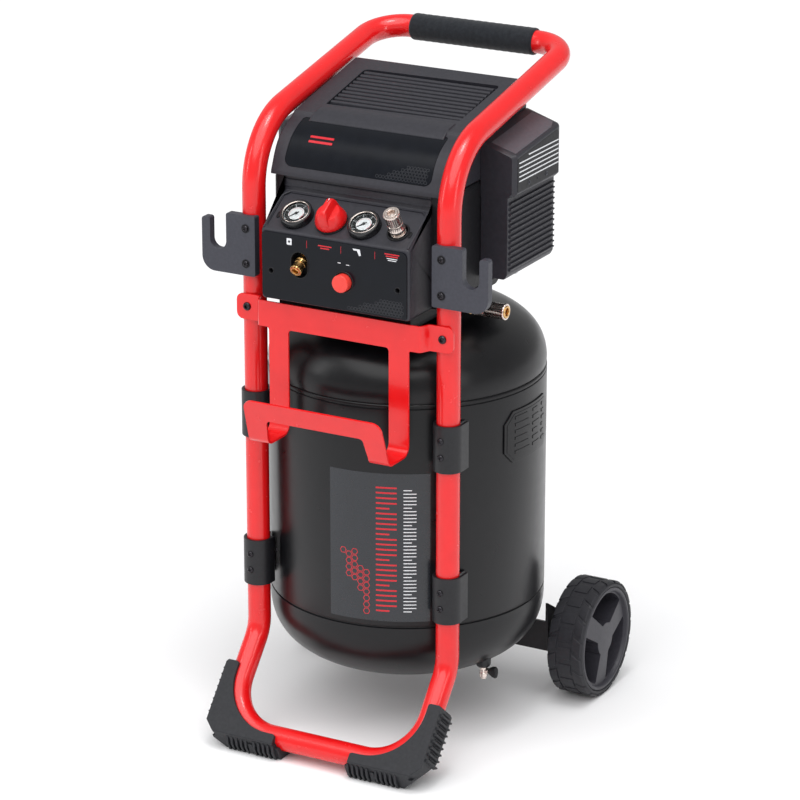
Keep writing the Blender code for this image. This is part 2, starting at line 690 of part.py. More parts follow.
def control_panel():
    """Glossy front plate with rounded corners and the two openings."""
    half, low, high, corner = 0.1085, 0.6400, 0.7300, 0.009
    outline = []
    for cx, cz, start in ((half, high, 0), (-half, high, 90), (-half, low, 180), (half, low, 270)):
        centre = (cx - math.copysign(corner, cx), cz + (corner if cz == low else -corner))
        outline += arc(centre, corner, start, start + 90, 3)
    plate = place("control_panel", prism(outline, FASCIA_Y - GAP - 0.0020, FASCIA_Y - GAP, "Y"), GLOSS)
    combine(plate, "DIFFERENCE", [port_slot(FASCIA_Y - 0.010, FASCIA_Y + 0.010), button_bore(0.0130)])


def cover():
    """Upper casing with the curved front face and the top that follows the handle."""
    seam = SEAM_Z + 0.0007
    outer = [(0.0125, seam)] + FACE_LINE
    outer += [(0.0760, 0.8655), (0.2440, 0.9021), (0.2515, 0.8985), (BACK_Y, 0.889), (BACK_Y, seam)]
    face_inner = offset_line(FACE_LINE, -WALL - INLAY_T)
    inner = [(0.0125 + WALL + INLAY_T, seam - 0.01)] + face_inner
    inner += [(0.0790, 0.8622), (0.2430, 0.8979), (0.2490, 0.8955)]
    inner += [(BACK_Y - WALL, 0.888), (BACK_Y - WALL, seam - 0.01)]
    shell = place("housing_cover", prism(outer, -BODY_HALF, BODY_HALF, "X"), CHARCOAL)
    inside = prism(inner, -BODY_HALF + WALL, BODY_HALF - WALL, "X")
    recess = offset_line(FACE_LINE, 0.004) + list(reversed(offset_line(FACE_LINE, -INLAY_T - GAP)))
    pocket = prism(recess, -INLAY_HALF - GAP, INLAY_HALF + GAP, "X")
    combine(shell, "DIFFERENCE", [inside, pocket])
    band = FACE_LINE[:]
    band[0] = (band[0][0] + 0.0003, band[0][1] + 0.0008)
    band[-1] = (band[-1][0] - 0.0009, band[-1][1] - 0.0004)
    plate = band + list(reversed(offset_line(band, -INLAY_T)))
    place("front_inlay", prism(plate, -INLAY_HALF + GAP, INLAY_HALF - GAP, "X"), GLOSS)


def side_covers():
    """Air ducts on both sides of the housing: open boxes with a sloping top."""
    inner_x, outer_x = BODY_HALF + 0.0006, 0.1840
    front, rear = 0.1200, 0.2580

    def hull(shrink, reach):
        x_in = inner_x - reach
        x_out = outer_x - shrink
        y_front, y_rear = front + shrink, rear - shrink
        points = []
        for y, top_in, top_out, low_in, low_out in ((y_front, 0.8460, 0.8300, 0.6580, 0.6720),
                                                    (y_rear, 0.8630, 0.8470, 0.6580, 0.6720)):
            drop = shrink * 1.3
            points += [(x_in, y, top_in - drop), (x_out, y, top_out - drop - shrink)]
            points += [(x_in, y, low_in + shrink), (x_out - 0.016, y, low_in + shrink)]
            points += [(x_out, y, low_out + shrink)]
        return points

    for label, side in SIDES:
        solids = []
        for shrink, reach in ((0.0, 0.0), (WALL, 0.010)):
            shape = bmesh.new()
            for x, y, z in hull(shrink, reach):
                shape.verts.new((side * x, y, z))
            bmesh.ops.convex_hull(shape, input=shape.verts)
            solids.append(shape)
        box = place("side_cover_" + label, solids[0], CHARCOAL)
        combine(box, "DIFFERENCE", [solids[1]])


# ---------------------------------------------------------------- controls
def gauges():
    bezel, face = GAUGE_R, 0.0045
    for label, x in zip(("left", "right"), GAUGE_X):
        spot, turn = on_deck(x)
        case = lathe([(0, -0.0180), (0.0165, -0.0180), (0.0165, GAP), (bezel, GAP), (bezel, 0.0080),
                      (bezel - 0.0015, 0.0095), (bezel - 0.0035, 0.0095), (bezel - 0.0035, face),
                      (0, face)], 28)
        place("gauge_case_" + label, case, BLACK_PAINT, spot, turn)
        lens = lathe([(0, 0.0072), (bezel - 0.0038, 0.0072), (bezel - 0.0038, 0.0088), (0, 0.0088)], 28)
        place("gauge_lens_" + label, lens, CLEAR, spot, turn)
        tip = 0.0145
        start = math.radians(225)
        pointer = [(-0.0040, -0.0010), (0.0, -0.0016), (tip, -0.0003)]
        pointer += [(along, -across) for along, across in reversed(pointer)]
        cos, sin = math.cos(start), math.sin(start)
        turned = [(a * cos - b * sin, a * sin + b * cos) for a, b in pointer]
        needle = prism(turned, face + 0.0006, face + 0.0014, "Z")
        place("gauge_needle_" + label, needle, BLACK_PAINT, spot, turn)


def regulator():
    spot, turn = on_deck(KNOB_X)
    skirt = lathe([(0.0045, 0.0010), (0.0215, 0.0010), (0.0205, 0.0110), (0.0170, 0.0190),
                   (0, 0.0190), (0, 0.0160), (0.0045, 0.0160)], 28, closed=True)
    knob = place("regulator_knob", skirt, RED_PLASTIC, spot, turn)
    bar = prism([(-0.0200, 0.0040), (0.0200, 0.0040), (0.0180, 0.0270), (0.0100, 0.0310), (-0.0100, 0.0310),
                 (-0.0180, 0.0270)], -0.0070, 0.0070, "X")
    stem_room = lathe([(0, 0), (0.0045, 0), (0.0045, 0.0160), (0, 0.0160)], 28)
    combine(knob, "UNION", [bar])
    combine(knob, "DIFFERENCE", [stem_room])
    gallery = block((-0.072, 0.112), (-0.012, 0.012), (-0.046, -0.022))
    manifold = place("manifold", gallery, CASTING, spot, turn)
    boss = lathe([(0, -0.030), (0.0120, -0.030), (0.0120, -0.0080), (0.0042, -0.0060), (0.0042, 0.0145),
                  (0, 0.0145)], 20)
    combine(manifold, "UNION", [boss])


def coupler(name, spot, turn, start, length, radius, body_mat, sleeve_mat, bore=0.0055):
    """Quick coupler: a hollow-mouthed body and a sleeve that slides back over it."""
    core = radius - 0.0030
    collar_low = start + (length - start) * 0.45
    seat = length - 0.0065
    stem = core - 0.0020
    flange = radius - 0.0008
    body = [(0, start), (stem, start), (stem, collar_low - 0.0065), (flange, collar_low - 0.0065),
            (flange, collar_low - 0.0052), (core, collar_low - 0.0052), (core, length), (bore, length),
            (bore, seat), (0, seat)]
    place(name + "_body", lathe(body, 18), body_mat, spot, turn)
    waist = radius - 0.0009
    end = length - 0.0012
    sleeve = [(core + GAP, collar_low), (radius, collar_low), (radius, collar_low + 0.0040),
              (waist, collar_low + 0.0050), (waist, length - 0.0045), (radius, length - 0.0035),
              (radius, end), (core + GAP, end)]
    place(name + "_sleeve", lathe(sleeve, 18, closed=True), sleeve_mat, spot, turn)


def couplers():
    spot, turn = on_deck(TOP_COUPLER_X)
    coupler("top_coupler", spot, turn, -0.0210, 0.0370, 0.0115, NICKEL, NICKEL)
    coupler("front_coupler", (PORT_X, FASCIA_Y, PORT_Z), (PORT_TILT, 0, 0), -0.0260, 0.0150, 0.0085,
            BRASS, RED_PLASTIC, 0.0046)
    x, y, z = SIDE_COUPLER
    coupler("side_coupler", (x, y, z), (0, math.pi / 2, 0), -0.0180, 0.0700, 0.0115, BRASS, NICKEL)


def switch():
    cap = lathe([(0, 0.0008), (BUTTON_R, 0.0008), (BUTTON_R, 0.0200),
                 (BUTTON_R - 0.0012, 0.0212), (0, 0.0212)], 28)
    bmesh.ops.rotate(cap, verts=cap.verts, matrix=Matrix.Rotation(math.pi / 2, 3, "X"))
    place("power_button", cap, RED_PLASTIC, (BUTTON_X, FASCIA_Y + 0.0080, BUTTON_Z))
    place("pressure_switch", block((-0.004, 0.054), (-0.0300, -0.0020), (0.6450, 0.6980)), CHARCOAL)


def cable_gland():
    """Inlet nut for the mains lead at the back."""
    shape = lathe([(0, -0.0060), (0.0068, -0.0060), (0.0068, 0.0004), (0.0110, 0.0004), (0.0110, 0.0080),
                   (0.0085, 0.0150), (0.0045, 0.0150), (0.0045, 0.0040), (0, 0.0040)], 18)
    bmesh.ops.rotate(shape, verts=shape.verts, matrix=Matrix.Rotation(-math.pi / 2, 3, "X"))
    place("cable_gland", shape, CHARCOAL, GLAND)


# ---------------------------------------------------------------- pump inside the housing
def pump():
    tray = [(-0.095, 0.6000), (-0.095, 0.6105), (0.095, 0.6105), (0.095, 0.6000),
            (0.092, 0.6000), (0.092, 0.6075), (-0.092, 0.6075), (-0.092, 0.6000)]
    place("pump_tray", prism(tray, 0.100, 0.215, "Y"), BLACK_PAINT)
    frame = lathe([(0.0345, -0.0420), (0.0560, -0.0420), (0.0560, 0.0420), (0.0345, 0.0420)], 28, closed=True)
    motor = place("motor_stator", aim(frame, "+X"), CASTING, (0, MOTOR_Y, MOTOR_Z))
    feet = block((-0.0400, 0.0400), (-0.0400, 0.0400), (0.6110 - MOTOR_Z, -0.0480))
    combine(motor, "UNION", [feet])
    shaft_end = CYLINDER_X + 0.008
    shaft = [(0, -shaft_end), (0.0080, -shaft_end), (0.0080, -0.0400), (0.0340, -0.0380),
             (0.0340, 0.0380), (0.0080, 0.0400), (0.0080, shaft_end), (0, shaft_end)]
    rotor = place("motor_rotor", aim(lathe(shaft, 24), "+X"), STEEL, (0, MOTOR_Y, MOTOR_Z))
    for side in (-1, 1):
        web = lathe([(0, -0.004), (0.0105, -0.004), (0.0105, 0.004), (0, 0.004)], 20)
        bmesh.ops.translate(aim(web, "+X"), verts=web.verts, vec=(side * CYLINDER_X, THROW, 0))
        combine(rotor, "UNION", [web])
    for label, side in SIDES:
        piston(label, side)
        cylinder(label, side)


def piston(label, side):
    """Piston with its rod; the big end is an open ring round the crank web."""
    ring_in, ring_out = 0.0235, 0.0275
    crown = 0.0640
    ring = prism(arc((0, 0), ring_out, 0, 345, 23), -0.0040, 0.0040, "X")
    obj = place("piston_" + label, ring, CASTING, (side * CYLINDER_X, MOTOR_Y, MOTOR_Z))
    rod = block((-0.0040, 0.0040), (-0.0060, 0.0060), (ring_out - 0.003, crown + 0.003))
    crown_r = PISTON_R - 0.0020
    head = lathe([(0, crown), (crown_r, crown), (crown_r, crown + 0.0080), (0, crown + 0.0080)], 24)
    eye = prism(arc((0, 0), ring_in, 0, 345, 23), -0.0100, 0.0100, "X")
    combine(obj, "UNION", [rod, head])
    combine(obj, "DIFFERENCE", [eye])


def cylinder(label, side):
    """Barrel and head in one casting, open at the bottom."""
    low, high = 0.0540, 0.1000
    profile = [(PISTON_R, low), (0.0280, low), (0.0280, high - 0.012), (0.0285, high - 0.012), (0.0285, high),
               (0, high), (0, high - 0.008), (PISTON_R, high - 0.008)]
    barrel = lathe(profile, 24, closed=True)
    place("cylinder_" + label, barrel, CASTING, (side * CYLINDER_X, MOTOR_Y, MOTOR_Z))


def safety_valve():
    """Brass relief valve on the tank's rear shoulder, lifted by a ring."""
    x, y = SAFETY_XY
    reach = math.hypot(x, y - TANK_Y)
    depth, fullness = TOP_END
    rise = depth * (1 - ((reach - 0.009) / TANK_R) ** fullness) ** (1 / fullness)
    seat = TANK_HIGH + GAP + rise + 0.0008
    body = lathe([(0, seat), (0.0085, seat), (0.0085, seat + 0.008), (0.0065, seat + 0.009),
                  (0.0065, seat + 0.030), (0.0022, seat + 0.031), (0.0022, seat + 0.036),
                  (0, seat + 0.036)], 16)
    place("safety_valve", body, BRASS, (x, y, 0))
    lift = seat + 0.0365
    cap = lathe([(0, 0), (0.0040, 0), (0.0040, 0.0030), (0, 0.0030)], 16)
    ring = place("safety_valve_ring", cap, STEEL, (x, y, lift))
    loop = bmesh.new()
    segments, around = 16, 6
    rings = []
    for i in range(segments):
        turn = 2 * math.pi * i / segments
        row = []
        for j in range(around):
            roll = 2 * math.pi * j / around
            far = 0.0085 + 0.0011 * math.cos(roll)
            spot = (far * math.cos(turn), 0.0011 * math.sin(roll), 0.0112 + far * math.sin(turn))
            row.append(loop.verts.new(spot))
        rings.append(row)
    for i in range(segments):
        a, b = rings[i], rings[(i + 1) % segments]
        for j in range(around):
            n = (j + 1) % around
            loop.faces.new((a[j], a[n], b[n], b[j]))
    combine(ring, "UNION", [loop])


# ---------------------------------------------------------------- assembly
def build():
    lower_path = tube_frame()
    foot_pads(lower_path)
    collars()
    hose_bracket()
    hooks()
    tank()
    drain_valve()
    axle_brackets()
    wheels()
    lower_housing()
    control_panel()
    cover()
    side_covers()
    gauges()
    regulator()
    couplers()
    switch()
    cable_gland()
    pump()
    safety_valve()
    bpy.context.view_layer.update()


build()
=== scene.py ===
"""Looks of an upright portable air compressor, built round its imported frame.

Metres, +Z up, the front faces -Y. Shapes are laid out from the plane of the two
upright tubes (y = 0) and the floor (z = 0); put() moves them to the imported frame.
"""

import json
import math

import bmesh
import bpy
from mathutils import Matrix, Vector

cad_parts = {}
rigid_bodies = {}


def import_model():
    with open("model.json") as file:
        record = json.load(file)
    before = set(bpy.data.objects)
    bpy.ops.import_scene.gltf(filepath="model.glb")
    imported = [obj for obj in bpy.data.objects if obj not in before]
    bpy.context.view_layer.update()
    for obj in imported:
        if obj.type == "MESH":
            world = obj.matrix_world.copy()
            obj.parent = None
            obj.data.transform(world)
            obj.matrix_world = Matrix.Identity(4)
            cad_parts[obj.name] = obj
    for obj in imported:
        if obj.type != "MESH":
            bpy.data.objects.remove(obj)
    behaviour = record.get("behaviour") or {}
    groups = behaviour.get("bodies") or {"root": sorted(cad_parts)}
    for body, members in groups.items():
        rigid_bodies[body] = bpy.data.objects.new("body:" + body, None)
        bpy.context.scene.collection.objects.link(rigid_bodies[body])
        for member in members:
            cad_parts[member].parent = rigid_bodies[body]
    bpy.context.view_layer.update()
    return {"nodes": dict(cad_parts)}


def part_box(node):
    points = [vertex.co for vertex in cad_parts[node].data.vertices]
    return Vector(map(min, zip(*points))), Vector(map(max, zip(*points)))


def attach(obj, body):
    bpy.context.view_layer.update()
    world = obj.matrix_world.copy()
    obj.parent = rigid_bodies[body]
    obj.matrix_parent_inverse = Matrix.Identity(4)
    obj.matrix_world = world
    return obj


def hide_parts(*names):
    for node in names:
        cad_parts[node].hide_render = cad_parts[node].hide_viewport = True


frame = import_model()

for helper in [o for o in bpy.data.objects if o.name in ("Cube", "Light", "Camera")]:
    bpy.data.objects.remove(helper, do_unlink=True)


def middle(node):
    low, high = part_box(node)
    return (low + high) / 2


# ---------------------------------------------------------------- places taken from the frame
HANDLE_Y = 0.350
PLANE_Y = middle("handle_grip").y - HANDLE_Y
HANDLE_Z = middle("handle_grip").z
GRIP_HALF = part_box("handle_grip")[1].x
GRIP_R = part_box("handle_grip")[1].z - HANDLE_Z
AXLE_Y = middle("tyre_right").y - PLANE_Y
AXLE_Z = middle("tyre_right").z
WHEEL_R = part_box("tyre_right")[1].z - AXLE_Z
WHEEL_IN, WHEEL_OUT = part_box("tyre_right")[0].x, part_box("tyre_right")[1].x
TANK_Y = middle("tank_shell").y - PLANE_Y
TANK_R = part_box("tank_shell")[1].x
TANK_LOW, TANK_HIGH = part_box("tank_shell")[0].z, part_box("tank_shell")[1].z
TOP_DEPTH, TOP_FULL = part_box("tank_top")[1].z - TANK_HIGH, 2.6
BOTTOM_DEPTH, BOTTOM_FULL = TANK_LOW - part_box("tank_bottom")[0].z, 2.8
COLLAR_MID = (middle("collar_lower_left").z, middle("collar_upper_left").z)
COLLAR_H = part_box("collar_upper_left")[1].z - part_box("collar_upper_left")[0].z
BODY_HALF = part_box("housing_cover")[1].x
BACK_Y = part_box("housing_cover")[1].y - PLANE_Y

# tube frame
TUBE_R = 0.016
TUBE_X = 0.148
KNEE_Z = 0.140
BAR_Y, BAR_Z = -0.095, 0.0265
KNEE_BEND, BAR_BEND = 0.050, 0.075
TUBE_JOINT_Z = 0.458
SHOULDER_Z = 0.854
SHOULDER_BEND, HANDLE_BEND = 0.100, 0.050
# housing
PANEL_HALF = 0.112
FASCIA_Y = -0.043
HOUSING_LOW, SEAM_Z = 0.637, 0.792
SKIRT_LOW, SKIRT_HALF = 0.6085, 0.100
DECK_FRONT, DECK_BACK = (FASCIA_Y, 0.7335), (0.018, 0.772)
DECK_ANGLE = math.atan2(DECK_BACK[1] - DECK_FRONT[1], DECK_BACK[0] - DECK_FRONT[0])
CONTROL_Y = -0.0178
CONTROL_Z = DECK_FRONT[1] + (CONTROL_Y - DECK_FRONT[0]) * math.tan(DECK_ANGLE)
FACE_LINE = [(0.0148, 0.8015), (0.0240, 0.824), (0.0360, 0.8405), (0.0520, 0.8520), (0.0720, 0.8605)]
PORT_X, PORT_Z, PORT_TILT = -0.052, 0.692, math.radians(116)
BUTTON_X, BUTTON_Z, BUTTON_R = 0.015, 0.678, 0.012
SIDE_COUPLER = (0.110, 0.105, 0.620)
COVER_IN, COVER_OUT = 0.1306, 0.1840
SIDES = (("left", -1), ("right", 1))
OFFSET = Matrix.Translation((0, PLANE_Y, 0))


# ---------------------------------------------------------------- materials
def srgb(r, g, b):
    """Linear colour from 8-bit display values."""
    out = []
    for channel in (r, g, b):
        c = channel / 255
        out.append(c / 12.92 if c <= 0.04045 else ((c + 0.055) / 1.055) ** 2.4)
    return (*out, 1.0)


def finish(name, dark, light, mottle=14, rough=(0.35, 0.5), smudge=35, grain=900, depth=0.00004,
           kind="noise", wave=0.0, metallic=0.0, coat=0.0, coat_rough=0.08, specular=0.5,
           sheen=0.0):
    """A Principled material whose colour, roughness and bump all vary in object space."""
    mat = bpy.data.materials.new(name)
    mat.use_nodes = True
    tree = mat.node_tree
    new, link = tree.nodes.new, tree.links.new
    shader = tree.nodes["Principled BSDF"]
    shader.inputs["Metallic"].default_value = metallic
    shader.inputs["Coat Weight"].default_value = coat
    shader.inputs["Coat Roughness"].default_value = coat_rough
    shader.inputs["Specular IOR Level"].default_value = specular
    shader.inputs["Sheen Weight"].default_value = sheen
    coords = new("ShaderNodeTexCoord")

    def noise(scale, detail):
        node = new("ShaderNodeTexNoise")
        node.inputs["Scale"].default_value = scale
        node.inputs["Detail"].default_value = detail
        link(coords.outputs["Object"], node.inputs["Vector"])
        return node.outputs["Fac"]

    def spread(value, low, high, out_low, out_high):
        node = new("ShaderNodeMapRange")
        for socket, number in zip(node.inputs[1:5], (low, high, out_low, out_high)):
            socket.default_value = number
        link(value, node.inputs[0])
        return node.outputs[0]

    def blend(factor, a, b):
        node = new("ShaderNodeMix")
        node.data_type = "RGBA"
        link(factor, node.inputs["Factor"])
        for socket, value in ((node.inputs[6], a), (node.inputs[7], b)):
            if isinstance(value, tuple):
                socket.default_value = value
            else:
                link(value, socket)
        return node.outputs[2]

    colour = blend(spread(noise(mottle * 4, 5), 0.25, 0.75, 0, 1), dark, light)
    rough_value = spread(noise(smudge * 3, 4), 0.25, 0.75, rough[0], rough[1])
    link(colour, shader.inputs["Base Color"])
    link(rough_value, shader.inputs["Roughness"])
    if kind == "noise":
        relief = noise(grain, 2)
    elif kind == "cells":
        cells = new("ShaderNodeTexVoronoi")
        cells.inputs["Scale"].default_value = grain
        link(coords.outputs["Object"], cells.inputs["Vector"])
        relief = cells.outputs["Distance"]
    else:
        turned = new("ShaderNodeTexNoise")
        turned.inputs["Scale"].default_value = grain
        turned.inputs["Detail"].default_value = 3
        stretch = new("ShaderNodeMapping")
        stretch.inputs["Scale"].default_value = (1, 1, 0.04) if kind == "drawn_z" else (0.04, 1, 1)
        link(coords.outputs["Object"], stretch.inputs["Vector"])
        link(stretch.outputs["Vector"], turned.inputs["Vector"])
        relief = turned.outputs["Fac"]
    bump = new("ShaderNodeBump")
    bump.inputs["Distance"].default_value = depth
    bump.inputs["Strength"].default_value = 1.0
    link(relief, bump.inputs["Height"])
    if wave:
        slow = new("ShaderNodeBump")
        slow.inputs["Distance"].default_value = wave
        slow.inputs["Strength"].default_value = 1.0
        link(noise(110, 1), slow.inputs["Height"])
        link(slow.outputs["Normal"], bump.inputs["Normal"])
    link(bump.outputs["Normal"], shader.inputs["Normal"])
    return mat


RED = finish("red_enamel", srgb(218, 14, 18), srgb(228, 18, 21), 9, (0.22, 0.28), 30, 900, 0.000003,
             wave=0.000006, coat=0.3, coat_rough=0.1)
TANK = finish("tank_enamel", srgb(10, 10, 13), srgb(15, 15, 18), 12, (0.27, 0.33), 16, 900, 0.000004,
              wave=0.00001, specular=0.34)
STEEL_BLACK = finish("satin_black_steel", srgb(20, 20, 23), srgb(28, 28, 32), 60, (0.36, 0.44), 60, 1400,
                     0.00001, specular=0.4)
FOAM = finish("grip_foam", srgb(22, 25, 30), srgb(34, 38, 43), 60, (0.8, 0.95), 90, 900, 0.00025,
              kind="cells", sheen=0.2, specular=0.2)
FOOT = finish("foot_rubber", srgb(30, 31, 35), srgb(40, 41, 45), 60, (0.5, 0.6), 70, 1800, 0.00003,
              specular=0.35)
HOOK = finish("hook_moulding", srgb(52, 53, 61), srgb(61, 62, 71), 70, (0.42, 0.5), 80, 2400, 0.00004,
              specular=0.4)
CHARCOAL = finish("charcoal_moulding", srgb(38, 38, 44), srgb(46, 46, 53), 50, (0.4, 0.5), 60, 2600,
                  0.00004, specular=0.4)
DARK = finish("dark_moulding", srgb(17, 17, 20), srgb(24, 24, 28), 50, (0.45, 0.55), 70, 2400, 0.00003,
              specular=0.3)
PALE = finish("grey_moulding", srgb(78, 78, 84), srgb(88, 88, 95), 50, (0.38, 0.46), 60, 2600, 0.00003)
GLOSS = finish("glossy_foil", srgb(7, 10, 17), srgb(10, 14, 22), 12, (0.2, 0.26), 26, 900, 0.000002,
               specular=0.22)
BEZEL = finish("gauge_bezel", srgb(13, 13, 16), srgb(21, 21, 25), 60, (0.2, 0.28), 90, 900, 0.00001,
               specular=0.6)
NICKEL = finish("nickel_plate", srgb(214, 200, 192), srgb(236, 224, 216), 90, (0.2, 0.3), 120, 1500,
                0.000006, kind="drawn_z", metallic=1.0)
BRASS = finish("turned_brass", srgb(204, 158, 96), srgb(228, 188, 126), 90, (0.22, 0.32), 120, 1600,
               0.000006, kind="drawn_z", metallic=1.0)
ZINC = finish("zinc_steel", srgb(150, 150, 154), srgb(186, 186, 190), 120, (0.26, 0.4), 120, 1500,
              0.000006, kind="drawn_x", metallic=1.0)
BLACK_ZINC = finish("black_zinc", srgb(40, 39, 42), srgb(66, 64, 68), 140, (0.2, 0.3), 160, 1500,
                    0.000006, metallic=0.9)
CASTING = finish("die_casting", srgb(150, 152, 156), srgb(176, 178, 182), 60, (0.45, 0.6), 90, 1200,
                 0.00006, metallic=1.0)
HUB = finish("hub_moulding", srgb(46, 45, 52), srgb(56, 55, 62), 60, (0.42, 0.5), 70, 2200, 0.00004)
TYRE = finish("tyre_rubber", srgb(26, 26, 31), srgb(35, 35, 41), 50, (0.46, 0.58), 60, 1500, 0.00005,
              specular=0.42)
RED_PLASTIC = finish("red_moulding", srgb(206, 18, 20), srgb(220, 24, 25), 60, (0.3, 0.38), 70, 2000,
                     0.00002)
BUTTON_RED = finish("button_red", srgb(226, 58, 48), srgb(236, 70, 60), 60, (0.36, 0.44), 90, 2000,
                    0.00002)
DIAL = finish("dial_enamel", srgb(226, 226, 228), srgb(240, 240, 241), 200, (0.3, 0.4), 200, 900,
              0.000006)
INK = finish("dial_ink", srgb(18, 18, 20), srgb(30, 30, 32), 300, (0.4, 0.5), 200, 900, 0.000004)
RED_INK = finish("red_print", srgb(190, 18, 34), srgb(206, 26, 42), 120, (0.26, 0.36), 100, 900,
                 0.000004)
WHITE_INK = finish("white_print", srgb(214, 216, 220), srgb(230, 232, 235), 120, (0.3, 0.4), 100, 900,
                   0.000004)
DARK_INK = finish("dark_print", srgb(30, 32, 38), srgb(40, 42, 48), 120, (0.3, 0.4), 100, 900, 0.000004)
DECAL = finish("decal_film", srgb(8, 13, 22), srgb(13, 19, 29), 14, (0.22, 0.32), 30, 600, 0.000005,
               coat=0.4, coat_rough=0.1)


def clear_lens():
    """Thin clear plastic over a gauge's dial."""
    mat = finish("clear_lens", srgb(236, 240, 240), srgb(246, 248, 248), 80, (0.03, 0.06), 60, 300, 0.000002)
    shader = mat.node_tree.nodes["Principled BSDF"]
    shader.inputs["Transmission Weight"].default_value = 1.0
    shader.inputs["IOR"].default_value = 1.12
    return mat


LENS = clear_lens()


# ---------------------------------------------------------------- shape helpers
def outward(shape):
    """Weld a shape and turn its faces outwards."""
    bmesh.ops.remove_doubles(shape, verts=shape.verts, dist=1e-7)
    bmesh.ops.recalc_face_normals(shape, faces=shape.faces)
    if shape.calc_volume(signed=True) < 0:
        bmesh.ops.reverse_faces(shape, faces=shape.faces)


def put(name, shape, mat, body="chassis", stands_for=(), bevel=0.0, steps=2, angle=40,
        weighted=True):
    """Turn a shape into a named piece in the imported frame, riding on a body."""
    outward(shape)
    shape.transform(OFFSET)
    mesh = bpy.data.meshes.new(name)
    shape.to_mesh(mesh)
    shape.free()
    mesh.materials.append(mat)
    obj = bpy.data.objects.new(name, mesh)
    bpy.context.scene.collection.objects.link(obj)
    if bevel:
        step = obj.modifiers.new("edge", "BEVEL")
        step.width = bevel
        step.segments = steps
        step.limit_method = "ANGLE"
        step.angle_limit = math.radians(32)
        step.miter_outer = "MITER_ARC"
        mesh = evaluated(obj)
        obj.modifiers.clear()
        obj.data = mesh
    obj.data.shade_smooth()
    obj.data.set_sharp_from_angle(angle=math.radians(angle))
    if weighted:
        normals = obj.modifiers.new("normals", "WEIGHTED_NORMAL")
        normals.keep_sharp = True
        normals.weight = 60
    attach(obj, body)
    if stands_for:
        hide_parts(*stands_for)
    return obj


def evaluated(obj):
    bpy.context.view_layer.update()
    graph = bpy.context.evaluated_depsgraph_get()
    mesh = bpy.data.meshes.new_from_object(obj.evaluated_get(graph))
    mesh.name = obj.name
    return mesh


def raw(shape):
    """A working object holding a shape, for Boolean steps."""
    outward(shape)
    mesh = bpy.data.meshes.new("step")
    shape.to_mesh(mesh)
    shape.free()
    obj = bpy.data.objects.new("step", mesh)
    bpy.context.scene.collection.objects.link(obj)
    return obj


def carve(shape, cutters, operation="DIFFERENCE"):
    """Boolean a list of shapes into another and give back the result as a shape."""
    base = raw(shape)
    others = [raw(cutter) for cutter in cutters]
    for other in others:
        step = base.modifiers.new("cut", "BOOLEAN")
        step.operation = operation
        step.solver = "EXACT"
        step.object = other
    result = bmesh.new()
    result.from_mesh(evaluated(base))
    for obj in [base] + others:
        bpy.data.objects.remove(obj, do_unlink=True)
    bmesh.ops.remove_doubles(result, verts=result.verts, dist=2e-6)
    bmesh.ops.dissolve_degenerate(result, dist=2e-6, edges=result.edges)
    return result


def join(shapes):
    """Several shapes in one."""
    result = shapes[0]
    for other in shapes[1:]:
        mesh = bpy.data.meshes.new("part")
        other.to_mesh(mesh)
        other.free()
        result.from_mesh(mesh)
        bpy.data.meshes.remove(mesh)
    return result


def moved(shape, matrix):
    shape.transform(matrix)
    return shape


def shift(x=0.0, y=0.0, z=0.0):
    return Matrix.Translation((x, y, z))


def turn(degrees, axis):
    return Matrix.Rotation(math.radians(degrees), 4, axis)


def prism(outline, low, high, axis):
    """Extrude a closed outline along X (points are y, z), Y (x, z) or Z (x, y)."""
    order = {"X": (2, 0, 1), "Y": (0, 2, 1), "Z": (0, 1, 2)}[axis]
    shape = bmesh.new()
    caps = []
    for level in (low, high):
        ring = []
        for a, b in outline:
            source = (a, b, level)
            ring.append(shape.verts.new([source[i] for i in order]))
        caps.append(ring)
    count = len(outline)
    for i in range(count):
        j = (i + 1) % count
        shape.faces.new((caps[0][i], caps[0][j], caps[1][j], caps[1][i]))
    shape.faces.new(caps[0])
    shape.faces.new(list(reversed(caps[1])))
    return shape


def block(x, y, z):
    return prism([(x[0], y[0]), (x[1], y[0]), (x[1], y[1]), (x[0], y[1])], z[0], z[1], "Z")


def lathe(profile, sides=48, closed=False, bumps=0, bump_depth=0.0, bumpy=()):
    """Turn (radius, height) points about Z. Rings listed in bumpy are knurled."""
    shape = bmesh.new()
    rings = []
    for index, (radius, height) in enumerate(profile):
        if radius == 0:
            rings.append([shape.verts.new((0, 0, height))])
            continue
        ring = []
        for k in range(sides):
            angle = 2 * math.pi * k / sides
            far = radius
            if index in bumpy:
                far -= bump_depth * (0.5 + 0.5 * math.cos(angle * bumps))
            ring.append(shape.verts.new((far * math.cos(angle), far * math.sin(angle), height)))
        rings.append(ring)
    pairs = list(zip(rings, rings[1:]))
    if closed:
        pairs.append((rings[-1], rings[0]))
    for low, high in pairs:
        for k in range(sides):
            n = (k + 1) % sides
            if len(low) == 1 and len(high) == 1:
                break
            if len(low) == 1:
                shape.faces.new((low[0], high[n], high[k]))
            elif len(high) == 1:
                shape.faces.new((low[k], low[n], high[0]))
            else:
                shape.faces.new((low[k], low[n], high[n], high[k]))
    return shape


def arc(centre, radius, start, stop, steps):
    """Points on an arc, angles in degrees."""
    result = []
    for k in range(steps + 1):
        angle = math.radians(start + (stop - start) * k / steps)
        result.append((centre[0] + radius * math.cos(angle), centre[1] + radius * math.sin(angle)))
    return result


